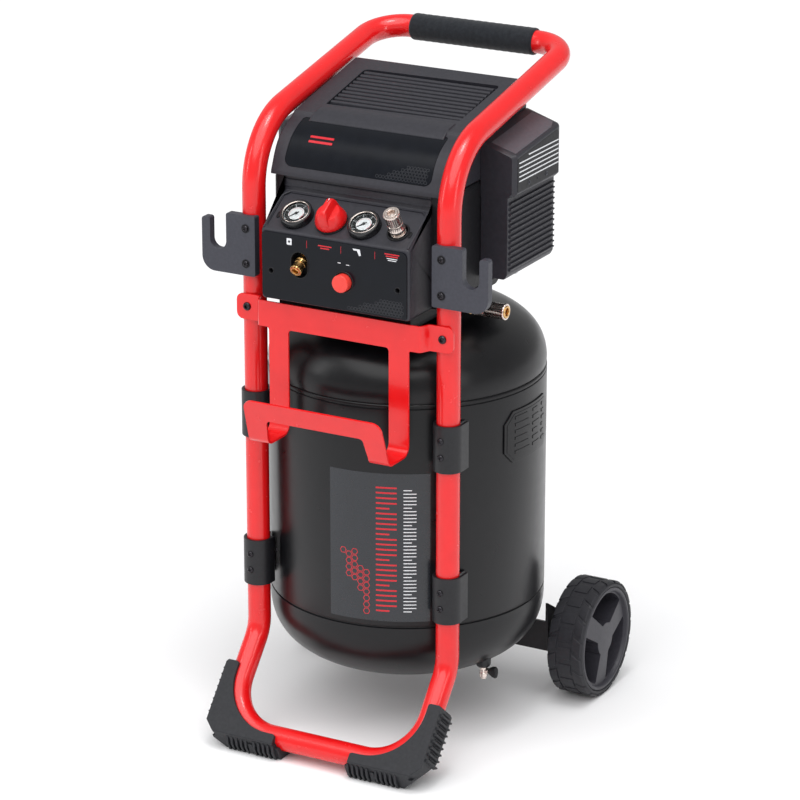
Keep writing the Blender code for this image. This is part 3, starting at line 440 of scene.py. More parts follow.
def soften(points, radii, steps=6):
    """A closed outline with its corners rounded; a radius per corner or one for all."""
    count = len(points)
    if not isinstance(radii, (list, tuple)):
        radii = [radii] * count
    result = []
    for i, radius in enumerate(radii):
        corner = Vector(points[i])
        into = Vector(points[i - 1]) - corner
        out = Vector(points[(i + 1) % count]) - corner
        half = into.angle(out) / 2
        if radius <= 0 or half > math.radians(88):
            result.append(tuple(corner))
            continue
        reach = radius / math.tan(half)
        limit = 0.49 * min(into.length, out.length)
        if reach > limit:
            radius *= limit / reach
            reach = limit
        into.normalize()
        out.normalize()
        centre = corner + (into + out).normalized() * (radius / math.sin(half))
        start = corner + into * reach - centre
        stop = corner + out * reach - centre
        sweep = start.angle_signed(stop)
        for k in range(steps + 1):
            angle = -sweep * k / steps
            cos, sin = math.cos(angle), math.sin(angle)
            result.append((centre.x + start.x * cos - start.y * sin,
                           centre.y + start.x * sin + start.y * cos))
    return result


def box_outline(low, high):
    return [(low[0], low[1]), (high[0], low[1]), (high[0], high[1]), (low[0], high[1])]


def inset(points, distance):
    """A closed counter-clockwise outline moved inwards."""
    count = len(points)
    area = sum(points[i - 1][0] * points[i][1] - points[i][0] * points[i - 1][1] for i in range(count))
    sign = 1 if area > 0 else -1
    result = []
    for i in range(count):
        before, here, after = Vector(points[i - 1]), Vector(points[i]), Vector(points[(i + 1) % count])
        a, b = (here - before).normalized(), (after - here).normalized()
        normal = Vector((-(a.y + b.y), a.x + b.x))
        if normal.length < 1e-6:
            normal = Vector((-a.y, a.x))
        normal.normalize()
        scale = max(0.5, normal.dot(Vector((-a.y, a.x))))
        spot = here + normal * (sign * distance / scale)
        result.append((spot.x, spot.y))
    return result


def loft_x(profile, half, radius, steps=6):
    """A body whose (y, z) profile runs along X and whose two ends are rounded off."""
    levels = []
    for k in range(steps + 1):
        angle = math.radians(90) * k / steps
        levels.append((half - radius + radius * math.sin(angle), radius * (1 - math.cos(angle))))
    stations = [(-x, d) for x, d in reversed(levels)] + levels
    shape = bmesh.new()
    rings = []
    for x, depth in stations:
        line = inset(profile, depth) if depth > 1e-6 else profile
        rings.append([shape.verts.new((x, y, z)) for y, z in line])
    return skin(shape, rings)


def skin(shape, rings):
    """Faces between rings of corners, and a cap on each end."""
    count = len(rings[0])
    for low, high in zip(rings, rings[1:]):
        for i in range(count):
            j = (i + 1) % count
            shape.faces.new((low[i], low[j], high[j], high[i]))
    shape.faces.new(rings[0])
    shape.faces.new(list(reversed(rings[-1])))
    return shape


def fillet_path(points, radii, steps=18):
    """A polyline with each inner corner replaced by an arc."""
    path = [Vector(points[0])]
    for before, corner, after, radius in zip(points, points[1:], points[2:], radii):
        corner = Vector(corner)
        into = (Vector(before) - corner).normalized()
        out = (Vector(after) - corner).normalized()
        half = into.angle(out) / 2
        reach = radius / math.tan(half)
        centre = corner + (into + out).normalized() * (radius / math.sin(half))
        start = corner + into * reach - centre
        axis = into.cross(out).normalized()
        for k in range(steps + 1):
            path.append(centre + Matrix.Rotation(-(math.pi - 2 * half) * k / steps, 3, axis) @ start)
    path.append(Vector(points[-1]))
    return path


def pipe(path, radius, sides=40):
    """A round bar along a path; radius may be a list, one value per point."""
    tangents = []
    for i, point in enumerate(path):
        before, after = path[max(i - 1, 0)], path[min(i + 1, len(path) - 1)]
        tangents.append(((after - point).normalized() + (point - before).normalized()).normalized())
    side = tangents[0].cross(Vector((0, 0, 1)))
    if side.length < 0.1:
        side = tangents[0].cross(Vector((0, 1, 0)))
    shape = bmesh.new()
    rings = []
    for i, (point, tangent) in enumerate(zip(path, tangents)):
        if i:
            side = tangents[i - 1].rotation_difference(tangent) @ side
        side = (side - tangent * side.dot(tangent)).normalized()
        up = tangent.cross(side)
        size = radius[i] if isinstance(radius, list) else radius
        ring = []
        for k in range(sides):
            angle = 2 * math.pi * k / sides
            ring.append(shape.verts.new(point + (side * math.cos(angle) + up * math.sin(angle)) * size))
        rings.append(ring)
    for low, high in zip(rings, rings[1:]):
        for k in range(sides):
            n = (k + 1) % sides
            shape.faces.new((low[k], low[n], high[n], high[k]))
    shape.faces.new(rings[0])
    shape.faces.new(list(reversed(rings[-1])))
    return shape


def sheet(outline, holes, folds, place, thickness):
    """Flat sheet cut to an outline with holes, folded by place(a, b) and given thickness.

    folds lists the lines ("a" or "b", value) along which the flat sheet is divided first.
    """
    shape = bmesh.new()
    edges = []
    for loop in [outline] + list(holes):
        verts = [shape.verts.new((a, b, 0)) for a, b in loop]
        edges += [shape.edges.new((verts[i - 1], verts[i])) for i in range(len(verts))]
    bmesh.ops.triangle_fill(shape, use_beauty=True, use_dissolve=False, edges=edges)
    for axis, value in folds:
        everything = shape.verts[:] + shape.edges[:] + shape.faces[:]
        spot = (value, 0, 0) if axis == "a" else (0, value, 0)
        normal = (1, 0, 0) if axis == "a" else (0, 1, 0)
        bmesh.ops.bisect_plane(shape, geom=everything, dist=1e-6, plane_co=spot, plane_no=normal)
    for vert in shape.verts:
        vert.co = place(vert.co.x, vert.co.y)
    bmesh.ops.recalc_face_normals(shape, faces=shape.faces)
    obj = raw(shape)
    thick = obj.modifiers.new("sheet", "SOLIDIFY")
    thick.thickness = thickness
    thick.offset = 0
    thick.use_even_offset = True
    thick.use_quality_normals = True
    result = bmesh.new()
    result.from_mesh(evaluated(obj))
    bpy.data.objects.remove(obj, do_unlink=True)
    return result


def hexagon(centre, radius, start=30):
    return [(centre[0] + radius * math.cos(math.radians(start + 60 * k)),
             centre[1] + radius * math.sin(math.radians(start + 60 * k))) for k in range(6)]


def honeycomb(cells, radius, width, place, thickness, start=30):
    """Raised hexagon outlines; place(a, b, height) gives the spot of a flat point."""
    shape = bmesh.new()
    for centre in cells:
        rings = []
        for size in (radius, radius - width):
            for height in (0.0, thickness):
                rings.append([shape.verts.new(place(a, b, height)) for a, b in hexagon(centre, size, start)])
        outer_low, outer_top, inner_low, inner_top = rings
        for low, high in ((outer_low, outer_top), (outer_top, inner_top), (inner_top, inner_low),
                          (inner_low, outer_low)):
            for k in range(6):
                n = (k + 1) % 6
                shape.faces.new((low[k], low[n], high[n], high[k]))
    return shape


def screw(radius, drive="cross"):
    """Pan head with a recess, standing on z = 0 and facing +Z."""
    height = radius * 0.62
    head = lathe([(0, -0.0006), (radius, -0.0006), (radius, height * 0.25), (radius * 0.93, height * 0.6),
                  (radius * 0.74, height * 0.88), (radius * 0.5, height), (0, height)], 24)
    reach, half = radius * 0.58, radius * 0.12
    if drive == "cross":
        cutters = [block((-reach, reach), (-half, half), (height * 0.35, height * 2)),
                   block((-half, half), (-reach, reach), (height * 0.35, height * 2))]
    else:
        cutters = [prism(hexagon((0, 0), radius * 0.5), height * 0.3, height * 2, "Z")]
    return carve(head, cutters)


SCREWS = {}


def screws(name, radius, spots, mat=BLACK_ZINC, body="chassis", drive="cross"):
    """One piece holding several screws; spots are (x, y, z, rotation matrix)."""
    key = (round(radius, 5), drive)
    if key not in SCREWS:
        shape = screw(radius, drive)
        mesh = bpy.data.meshes.new("screw")
        shape.to_mesh(mesh)
        shape.free()
        SCREWS[key] = mesh
    shape = bmesh.new()
    for index, (x, y, z, aim) in enumerate(spots):
        one = bmesh.new()
        one.from_mesh(SCREWS[key])
        one.transform(shift(x, y, z) @ aim @ turn(18 + 37 * index, "Z"))
        shape = join([shape, one])
    return put(name, shape, mat, body, angle=30, weighted=False)


FACING_FRONT = turn(90, "X")
FACING_BACK = turn(-90, "X")
FACING_RIGHT = turn(90, "Y")
FACING_LEFT = turn(-90, "Y")
DECK = shift(0, CONTROL_Y, CONTROL_Z) @ Matrix.Rotation(DECK_ANGLE, 4, "X")


# ---------------------------------------------------------------- tube frame, grip, feet
def tube_frame():
    low = [(-TUBE_X, 0, TUBE_JOINT_Z), (-TUBE_X, 0, KNEE_Z), (-TUBE_X, BAR_Y, BAR_Z), (TUBE_X, BAR_Y, BAR_Z),
           (TUBE_X, 0, KNEE_Z), (TUBE_X, 0, TUBE_JOINT_Z)]
    path = fillet_path(low, (KNEE_BEND, BAR_BEND, BAR_BEND, KNEE_BEND))
    put("lower_frame_tube", pipe(path, TUBE_R), RED, stands_for=["frame_lower"], angle=60,
        weighted=False)
    high = [(-TUBE_X, 0, TUBE_JOINT_Z), (-TUBE_X, 0, SHOULDER_Z), (-TUBE_X, HANDLE_Y, HANDLE_Z),
            (TUBE_X, HANDLE_Y, HANDLE_Z), (TUBE_X, 0, SHOULDER_Z), (TUBE_X, 0, TUBE_JOINT_Z)]
    path = fillet_path(high, (SHOULDER_BEND, HANDLE_BEND, HANDLE_BEND, SHOULDER_BEND))
    put("upper_frame_tube", pipe(path, TUBE_R), RED, stands_for=["frame_upper"], angle=60,
        weighted=False)


def handle_grip():
    inner = TUBE_R + 0.0002
    outer = GRIP_R - 0.0001
    profile = [(inner, -GRIP_HALF)]
    for k in range(7):
        angle = math.radians(90) * k / 6
        profile.append((outer - 0.0022 + 0.0022 * math.sin(angle),
                        -GRIP_HALF + 0.0040 * (1 - math.cos(angle))))
    stations = 60
    for k in range(1, stations):
        along = -GRIP_HALF + 0.006 + (2 * GRIP_HALF - 0.012) * k / stations
        profile.append((outer - 0.00018 * (1 + math.cos(k * 1.7)), along))
    for k in range(7):
        angle = math.radians(90) * (1 - k / 6)
        profile.append((outer - 0.0022 + 0.0022 * math.sin(angle),
                        GRIP_HALF - 0.0040 * (1 - math.cos(angle))))
    profile.append((inner, GRIP_HALF))
    shape = moved(lathe(profile, 64, closed=True), shift(0, HANDLE_Y, HANDLE_Z) @ FACING_RIGHT)
    grip = put("foam_sleeve", shape, FOAM, stands_for=["handle_grip"], weighted=False)


def foot_pads():
    up = Vector((0, -BAR_Y, KNEE_Z - BAR_Z)).normalized()
    out = Vector((0, -up.z, up.y))
    plane = Matrix(((1, 0, 0, 0), (0, up.y, out.y, BAR_Y), (0, up.z, out.z, BAR_Z), (0, 0, 0, 1)))
    outer, leg, drop, cut, half = TUBE_X + 0.0205, 0.0885, 0.032, 0.031, 0.021
    arm_end = TUBE_X - 0.089
    for label, side in SIDES:
        outline = [(TUBE_X + 0.001, leg - 0.002), (TUBE_X + 0.004, leg), (outer - 0.003, leg),
                   (outer, leg - 0.004)]
        outline += [(outer, cut - drop), (outer - cut, -drop), (arm_end + 0.004, -drop),
                    (arm_end, -drop + 0.004)]
        outline += [(arm_end, -0.003), (arm_end + 0.003, -0.001)]
        outline += arc((TUBE_X - BAR_BEND, BAR_BEND), BAR_BEND + 0.001, -90, 0, 14)
        outline = [(side * x, v) for x, v in outline]
        core = moved(prism(outline, -half, half, "Z"), plane)
        sole = [(-0.118, -0.004), (-0.078, -0.004), (-0.078, 0.020), (-0.118, 0.020)]
        ends = sorted((side * (TUBE_X - 0.096), side * (outer - 0.012)))
        core = carve(core, [prism(sole, ends[0], ends[1], "X")], "UNION")
        lip = [(-0.1205, 0.3), (-0.1205, 0.028), (-0.1065, 0.0006), (0.2, 0.0006), (0.2, 0.3)]
        corner = [(0, 0), (side * 0.139, 0), (side * (TUBE_X + 0.0225), 0.028), (side * 0.3, 0.05),
                  (side * 0.3, 0.3), (0, 0.3)]
        core = carve(core, [prism(lip, -0.3, 0.3, "X")], "INTERSECT")
        core = carve(core, [prism(corner, -0.3, 0.2, "Y")], "INTERSECT")
        put("foot_core_" + label, core, FOOT, stands_for=["foot_pad_" + label],
            bevel=0.0022,
            steps=3)
        fins = []
        pitch = 0.0092
        for k in range(8):
            v = 0.0125 + pitch * k
            tooth = [(outer - 0.002, v - 0.0034), (outer + 0.0042, v - 0.0012), (outer + 0.0040, v + 0.0006),
                     (outer - 0.002, v + 0.0030)]
            tooth = [(side * x, w) for x, w in tooth]
            fins.append(moved(prism(tooth, -half + 0.002, half - 0.0055, "Z"), plane))
            ridge = [(outer - 0.001, v + 0.0036), (outer + 0.0018, v + 0.0042), (outer + 0.0018, v + 0.0052),
                     (outer - 0.001, v + 0.0056)]
            ridge = [(side * x, w) for x, w in ridge]
            fins.append(moved(prism(ridge, -half + 0.006, half - 0.013, "Z"), plane))
        put("foot_fins_" + label, join(fins), FOOT, bevel=0.0005)
        ribs = []
        for group, first, count in ((0, 0.0590, 5), (1, 0.1020, 5)):
            for k in range(count):
                x = side * (first + 0.0074 * k)
                front = -0.1198 + 0.0008 * group
                wedge = [(front, 0.0245), (front + 0.0016, 0.0120), (front + 0.0085, 0.0010),
                         (-0.100, 0.0010),
                         (-0.108, 0.0245)]
                ribs.append(prism(wedge, x - 0.0019, x + 0.0019, "X"))
        step = [(-0.1180, 0.0190), (-0.1120, 0.0040), (-0.1000, 0.0040), (-0.1000, 0.0190)]
        ends = sorted((side * 0.0920, side * 0.0990))
        ribs.append(prism(step, ends[0], ends[1], "X"))
        put("foot_ribs_" + label, join(ribs), FOOT, bevel=0.0007)


# ---------------------------------------------------------------- collars, hose bracket, hooks
def collars():
    inner, outer = TUBE_R + 0.0004, 0.0205
    saddle = [(outer, 0.0198)] + arc((0, 0), outer, 0, -180, 32) + [(-outer, 0.0095), (-inner, 0.0095)]
    saddle += arc((0, 0), inner, -180, 0, 32) + [(inner, 0.0198)]
    for label, side in SIDES:
        for level, height in zip(("lower", "upper"), COLLAR_MID):
            outline = [(side * (TUBE_X + x), y) for x, y in saddle]
            name = "%s_%s" % (level, label)
            put("collar_shell_" + name, prism(outline, height - COLLAR_H / 2, height + COLLAR_H / 2, "Z"),
                STEEL_BLACK, stands_for=["collar_" + name], bevel=0.0009, steps=2)
            spots = [(side * TUBE_X - 0.001, -outer + 0.0001, height + dz, FACING_FRONT) for dz in (-0.0105,
                                                                                                    0.0125)]
            screws("collar_screws_" + name, 0.0046, spots)
            heads = [(side * (TUBE_X - 0.0215), 0.0140, height + dz,
                      FACING_LEFT if side > 0 else FACING_RIGHT)
                     for dz in (-0.0105, 0.0125)]
            screws("collar_nuts_" + name, 0.0034, heads, drive="hex")


def hose_bracket():
    """Folded sheet: a bar across the tubes, two legs, a trough and a leaning front strip."""
    tab_y, bar_y = -0.0182, -0.0330
    bar_top, bar_low = 0.630, 0.594
    profile = fillet_path([(0, bar_y, bar_top), (0, bar_y, 0.4490), (0, -0.0865, 0.4490),
                           (0, -0.1075, 0.5140)],
                          (0.014, 0.012), 8)
    lengths = [0.0]
    for a, b in zip(profile, profile[1:]):
        lengths.append(lengths[-1] + (b - a).length)
    total = lengths[-1]
    bar = bar_top - bar_low

    def along(s):
        for i in range(len(profile) - 1):
            if s <= lengths[i + 1] or i == len(profile) - 2:
                t = (s - lengths[i]) / (lengths[i + 1] - lengths[i])
                return profile[i].lerp(profile[i + 1], t)

    def place(x, s):
        spot = along(s)
        y = spot.y
        if s < bar + 0.004:
            t = min(max((abs(x) - 0.1215) / 0.0095, 0), 1)
            y = bar_y + (tab_y - bar_y) * t * t * (3 - 2 * t)
        return Vector((x, y, spot.z))

    leg_in, leg_out, tab = 0.0766, 0.1065, 0.1655
    strip = total - 0.0290
    outline = [(-tab, 0), (tab, 0), (tab, bar), (leg_out, bar), (leg_out, total - 0.058),
               (leg_out - 0.002, total),
               (-leg_out + 0.002, total), (-leg_out, total - 0.058), (-leg_out, bar), (-tab, bar)]
    outline = soften(outline, [0.0095, 0.0095, 0.0095, 0.004, 0, 0.0135, 0.0135, 0, 0.004, 0.0095], 5)
    hole = [(-leg_in, bar), (-leg_in, total - 0.058), (-leg_in + 0.0035, strip), (leg_in - 0.0035, strip),
            (leg_in, total - 0.058), (leg_in, bar)]
    hole = soften(hole, [0.005, 0, 0.006, 0.006, 0, 0.005], 5)
    folds = [("b", s) for s in lengths[1:-1]] + [("b", bar + 0.004)]
    for k in range(7):
        folds += [("a", sign * (0.1215 + 0.0095 * k / 6)) for sign in (-1, 1)]
    shape = sheet(outline, [hole], folds, place, 0.0030)
    put("hose_rack", shape, RED, stands_for=["hose_bracket"], bevel=0.0007, steps=2,
        angle=50)
    spots = [(side * 0.149, tab_y - 0.0014, 0.6125, FACING_FRONT) for _, side in SIDES]
    screws("hose_rack_bolts", 0.0058, spots, drive="hex")
    nuts = []
    for _, side in SIDES:
        nuts.append(moved(prism(hexagon((0, 0), 0.0062), 0, 0.0052, "Z"),
                          shift(side * 0.149, TUBE_R - 0.0006, 0.6125) @ FACING_BACK))
        nuts.append(moved(lathe([(0, 0), (0.0032, 0), (0.0032, 0.0082), (0, 0.0088)], 20),
                          shift(side * 0.149, TUBE_R - 0.0006, 0.6125) @ FACING_BACK))
    put("hose_rack_nuts", join(nuts), ZINC, bevel=0.0004)


def hooks():
    low, high = 0.6560, 0.7400
    plate_in, plate_out, prong_in, prong_out = 0.1340, 0.1790, 0.2040, 0.2170
    prong_top, cup = 0.7305, 0.6880
    cup_r = (prong_in - plate_out) / 2
    outline = arc((plate_in + 0.003, low + 0.003), 0.003, 180, 270, 4)
    outline += arc((prong_out - 0.020, low + 0.020), 0.020, -90, 0, 10)
    outline += arc((prong_out - 0.004, prong_top - 0.004), 0.004, 0, 90, 4)
    outline += arc((prong_in + 0.0035, prong_top - 0.0035), 0.0035, 90, 180, 4)
    outline += arc((plate_out + cup_r, cup + cup_r), cup_r, 0, -180, 20)
    outline += arc((plate_out - 0.003, high - 0.003), 0.003, 0, 90, 4)
    outline += arc((plate_in + 0.003, high - 0.003), 0.003, 90, 180, 4)
    for label, side in SIDES:
        points = [(side * x, z) for x, z in outline]
        body = prism(points, -0.0225, -0.0105, "Y")
        groove = moved(pipe([Vector((0, 0, 0.6)), Vector((0, 0, 0.8))], TUBE_R + 0.0003, 32),
                       shift(side * TUBE_X))
        put("hook_body_" + label, carve(body, [groove]), HOOK,
            stands_for=["hook_" + label],
            bevel=0.0011, steps=3)
        spots = [(side * 0.1484, -0.0223, z, FACING_FRONT) for z in (0.7220, 0.6730)]
        screws("hook_screws_" + label, 0.0044, spots)
        cups = [moved(lathe([(0.0048, 0), (0.0060, 0), (0.0060, 0.0009), (0.0048, 0.0009)], 28, closed=True),
                      shift(side * 0.1484, -0.0224, z) @ FACING_FRONT) for z in (0.7220, 0.6730)]
        put("hook_screw_seats_" + label, join(cups), DARK, bevel=0.0003)


# ---------------------------------------------------------------- tank
def dome_line(sign, level, depth, fullness, steps=26):
    """Outer profile of a dished end, from the rim to the pole."""
    points = []
    for k in range(steps):
        angle = math.radians(90) * k / steps
        points.append((TANK_R * math.cos(angle) ** (2 / fullness),
                       level + sign * depth * math.sin(angle) ** (2 / fullness)))
    return points + [(0, level + sign * depth)]


def tank():
    r = TANK_R
    low_dome = dome_line(-1, TANK_LOW, BOTTOM_DEPTH, BOTTOM_FULL)
    high_dome = dome_line(1, TANK_HIGH, TOP_DEPTH, TOP_FULL)
    profile = [p for p in reversed(low_dome) if p[1] < TANK_LOW - 0.012]
    profile += [(r - 0.0004, TANK_LOW - 0.0110), (r - 0.0003, TANK_LOW - 0.0020),
                (r - 0.0022, TANK_LOW - 0.0010),
                (r - 0.0024, TANK_LOW + 0.0002), (r - 0.0006, TANK_LOW + 0.0010), (r, TANK_LOW + 0.0024)]
    profile += [(r, TANK_HIGH - 0.0080), (r - 0.0002, TANK_HIGH - 0.0068), (r - 0.0016, TANK_HIGH - 0.0060),
                (r - 0.0016, TANK_HIGH - 0.0052), (r - 0.0002, TANK_HIGH - 0.0042),
                (r + 0.0000, TANK_HIGH - 0.0014),
                (r - 0.0006, TANK_HIGH - 0.0004), (r - 0.0024, TANK_HIGH + 0.0002),
                (r - 0.0024, TANK_HIGH + 0.0012),
                (r - 0.0010, TANK_HIGH + 0.0020), (r - 0.0006, TANK_HIGH + 0.0060)]
    profile += [p for p in high_dome if p[1] > TANK_HIGH + 0.010]
    shape = moved(lathe(profile, 128), shift(0, TANK_Y))
    put("tank_vessel", shape, TANK, stands_for=["tank_shell", "tank_top", "tank_bottom"],
        angle=50, weighted=False)


def on_tank(degrees, z, height=0.0):
    angle = math.radians(degrees)
    reach = TANK_R + height
    return Vector((reach * math.cos(angle), TANK_Y + reach * math.sin(angle), z))


def curved_patch(outline, low, high, columns, rows, lift=0.0):
    """A raised patch on the tank; the outline is in degrees and height."""
    shape = bmesh.new()
    verts = [shape.verts.new((a, z, 0)) for a, z in outline]
    edges = [shape.edges.new((verts[i - 1], verts[i])) for i in range(len(verts))]
    bmesh.ops.triangle_fill(shape, use_beauty=True, use_dissolve=False, edges=edges)
    for axis, cuts in (((1, 0, 0), columns), ((0, 1, 0), rows)):
        for cut in cuts:
            spot = (cut, 0, 0) if axis[0] else (0, cut, 0)
            everything = shape.verts[:] + shape.edges[:] + shape.faces[:]
            bmesh.ops.bisect_plane(shape, geom=everything, dist=1e-6, plane_co=spot, plane_no=axis)
    sheet_faces = shape.faces[:]
    extruded = bmesh.ops.extrude_face_region(shape, geom=sheet_faces)
    top = {v for v in extruded["geom"] if isinstance(v, bmesh.types.BMVert)}
    for vert in shape.verts:
        level = high if vert in top else low
        vert.co = on_tank(vert.co.x, vert.co.y, lift + level)
    return shape


def decal():
    left, right, low, high = -94.0, -52.0, 0.199, 0.412
    outline = soften([(left, low), (right, low), (right, high), (left, high)], 0.0)
    columns = [left + 1.5 * k for k in range(1, 28)]
    put("decal_sheet", curved_patch(outline, -0.0003, 0.00022, columns, []), DECAL,
        angle=30)
    per_degree = math.pi * TANK_R / 180
    radius = 0.0052
    cells = []
    for column, (first, last) in enumerate(((9, 10), (5, 9), (5, 10), (3, 7), (0, 7))):
        for row in range(first, last):
            cells.append((column * radius * 1.62, (row + (column % 2) * 0.5) * radius * 1.80))

    def place(a, b, height):
        return on_tank(left + 6.0 + a / per_degree, low + 0.013 + b, 0.00012 + height)

    put("decal_honeycomb", honeycomb(cells, radius * 0.95, 0.0010, place, 0.00012, 0), RED_INK,
        weighted=False)
    rows = (("decal_red_bars", RED_INK, -74.0, -65.5, 0.0024, 0.0074, 25),
            ("decal_pale_bars", WHITE_INK, -62.8, -57.6, 0.0013, 0.0050, 36))
    for name, mat, a, b, tall, pitch, count in rows:
        bars = []
        for k in range(count):
            z = low + 0.014 + k * pitch
            stop = b if k % 5 else b - (b - a) * 0.35
            cuts = [a + (b - a) * j / 5 for j in range(1, 5)]
            bars.append(curved_patch([(a, z), (stop, z), (stop, z + tall), (a, z + tall)], 0.0001, 0.00030,
                                     cuts, []))
        put(name, join(bars), mat, weighted=False)


def rating_plate():
    """Raised eight-sided plate on the tank's right side, with plain bars for its entries."""
    left, right, low, high = -19.0, 17.0, 0.406, 0.480
    cut_a, cut_z = 5.0, 0.017
    eight = [(left + cut_a, low), (right - cut_a, low), (right, low + cut_z), (right, high - cut_z),
             (right - cut_a, high), (left + cut_a, high), (left, high - cut_z), (left, low + cut_z)]
    columns = [left + 2.0 * k for k in range(1, 18)]
    put("rating_plate_rim", curved_patch(eight, -0.0005, 0.0022, columns, []), TANK,
        bevel=0.0006)
    inner = [(left + cut_a + 0.6, low + 0.004), (right - cut_a - 0.6, low + 0.004),
             (right - 1.4, low + cut_z + 0.001),
             (right - 1.4, high - cut_z - 0.001), (right - cut_a - 0.6, high - 0.004),
             (left + cut_a + 0.6, high - 0.004), (left + 1.4, high - cut_z - 0.001),
             (left + 1.4, low + cut_z + 0.001)]
    put("rating_plate_field", curved_patch(inner, 0.0010, 0.0027, columns, []), TANK,
        bevel=0.0003)
    bars = []
    for row in range(6):
        z = low + 0.0125 + row * 0.0098
        for a, b in ((-13.0, -3.0), (-0.5, 5.5), (8.0, 11.5)):
            line = [(a, z), (b - (row % 3), z), (b - (row % 3), z + 0.0042), (a, z + 0.0042)]
            cuts = [a + (b - a) * k / 5 for k in range(1, 5)]
            bars.append(curved_patch(line, 0.0020, 0.0034, cuts, []))
    put("rating_plate_bars", join(bars), TANK, weighted=False)


def drain():
    low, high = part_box("drain_valve")
    x, y = (low.x + high.x) / 2, (low.y + high.y) / 2 - PLANE_Y
    knob = middle("drain_knob")
    boss = lathe([(0, 0.1180), (0.0105, 0.1180), (0.0105, 0.1045), (0.0100, 0.1022), (0.0085, 0.1000),
                  (0, 0.1000)], 32)
    put("drain_boss", moved(boss, shift(x, y)), STEEL_BLACK, stands_for=["drain_valve"],
        weighted=False)
    stem = lathe([(0, 0.1005), (0.0050, 0.1005), (0.0050, 0.0905), (0.0055, 0.0900), (0.0055, 0.0850),
                  (0.0048, 0.0840),
                  (0.0042, 0.0815), (0.0028, 0.0815), (0.0028, 0.0840), (0, 0.0840)], 32)
    arm = moved(lathe([(0, 0), (0.0040, 0), (0.0040, 0.0086), (0, 0.0086)], 24),
                shift(0, 0, knob.z) @ FACING_RIGHT)
    hexes = prism(hexagon((0, 0), 0.0058), 0.0962, 0.0996, "Z")
    put("drain_elbow", moved(join([stem, arm, hexes]), shift(x, y)), NICKEL, bevel=0.0003)
    line = [(0.0085, 0.0022), (0.0110, 0.0034), (0.0150, 0.0046), (0.0190, 0.0050), (0.0213, 0.0040)]
    shape = bmesh.new()
    rings = []
    for reach, size in [(0.0064, 0.0034)] + line:
        ring = []
        wide = 1.0 if reach < 0.008 else 1.75
        for k in range(32):
            angle = 2 * math.pi * k / 32
            ring.append(shape.verts.new((reach, size * math.cos(angle), size * wide * math.sin(angle))))
        rings.append(ring)
    for a, b in zip(rings, rings[1:]):
        for k in range(32):
            n = (k + 1) % 32
            shape.faces.new((a[k], a[n], b[n], b[k]))
    shape.faces.new(rings[0])
    shape.faces.new(rings[-1])
    put("drain_wing_knob", moved(shape, shift(x, y, knob.z)), DARK, "drain_knob",
        ["drain_knob"], bevel=0.0006)


# ---------------------------------------------------------------- wheels
def wheels():
    half = (WHEEL_OUT - WHEEL_IN) / 2
    centre = (WHEEL_IN + WHEEL_OUT) / 2
    rim = 0.0745
    deep = WHEEL_R - 0.0016
    for label, side in SIDES:
        body = "wheel_" + label
        spot = shift(side * centre, AXLE_Y, AXLE_Z) @ (FACING_RIGHT if side > 0 else FACING_LEFT)
        wall = [(rim, half - 0.0030), (rim + 0.0008, half - 0.0010), (rim + 0.0025, half - 0.0002),
                (rim + 0.0048, half - 0.0008),
                (deep - 0.0008, half - 0.0035), (deep, half - 0.0065)]
        carcass = [(radius, -level) for radius, level in wall] + list(reversed(wall))
        put("tyre_carcass_" + label, moved(lathe(carcass, 96, closed=True), spot), TYRE, body,
            ["tyre_" + label], bevel=0.0005, angle=35)
        blocks = []
        count = 20
        for k in range(count):
            for row, (z0, z1, lag) in enumerate(((-half + 0.0006, -0.0125, 0.0), (-0.0100, 0.0100, 0.5),
                                                 (0.0125, half - 0.0006, 0.0))):
                start = 360 / count * (k + lag)
                width = 360 / count - (2.6 if row != 1 else 4.4)
                lean = 2.4 if row == 2 else (-2.4 if row == 0 else 0)
                shape = bmesh.new()
                grid = []
                for z, skew in ((z0, -lean), (z1, lean)):
                    edge_low = 0.0048 if (row == 0 and z == z0) or (row == 2 and z == z1) else 0.0
                    for radius in (deep - 0.0020, WHEEL_R - 0.0001):
                        shrink = 0.7 if radius > deep else 0.0
                        level = z + (edge_low * (1 if z < 0 else -1) * 0.45 if radius > deep else 0)
                        line = []
                        for j in range(4):
                            angle = math.radians(start + skew + shrink + (width - 2 * shrink) * j / 3)
                            flat = math.cos(math.radians((width / 2) * 0.55))
                            far = radius * (flat if j in (0, 3) and radius > deep else 1.0)
                            line.append(shape.verts.new((far * math.cos(angle), far * math.sin(angle),
                                                         level)))
                        grid.append(line)
                a_low, a_top, b_low, b_top = grid
                for j in range(3):
                    shape.faces.new((a_low[j], a_low[j + 1], a_top[j + 1], a_top[j]))
                    shape.faces.new((b_low[j + 1], b_low[j], b_top[j], b_top[j + 1]))
                    shape.faces.new((a_top[j], a_top[j + 1], b_top[j + 1], b_top[j]))
                    shape.faces.new((a_low[j + 1], a_low[j], b_low[j], b_low[j + 1]))
                shape.faces.new((a_low[0], a_top[0], b_top[0], b_low[0]))
                shape.faces.new((a_top[3], a_low[3], b_low[3], b_top[3]))
                blocks.append(shape)
        put("tyre_blocks_" + label, moved(join(blocks), spot), TYRE, body, bevel=0.0007,
            steps=2)
        wheel_hub(label, body, spot, half, rim - 0.0003)


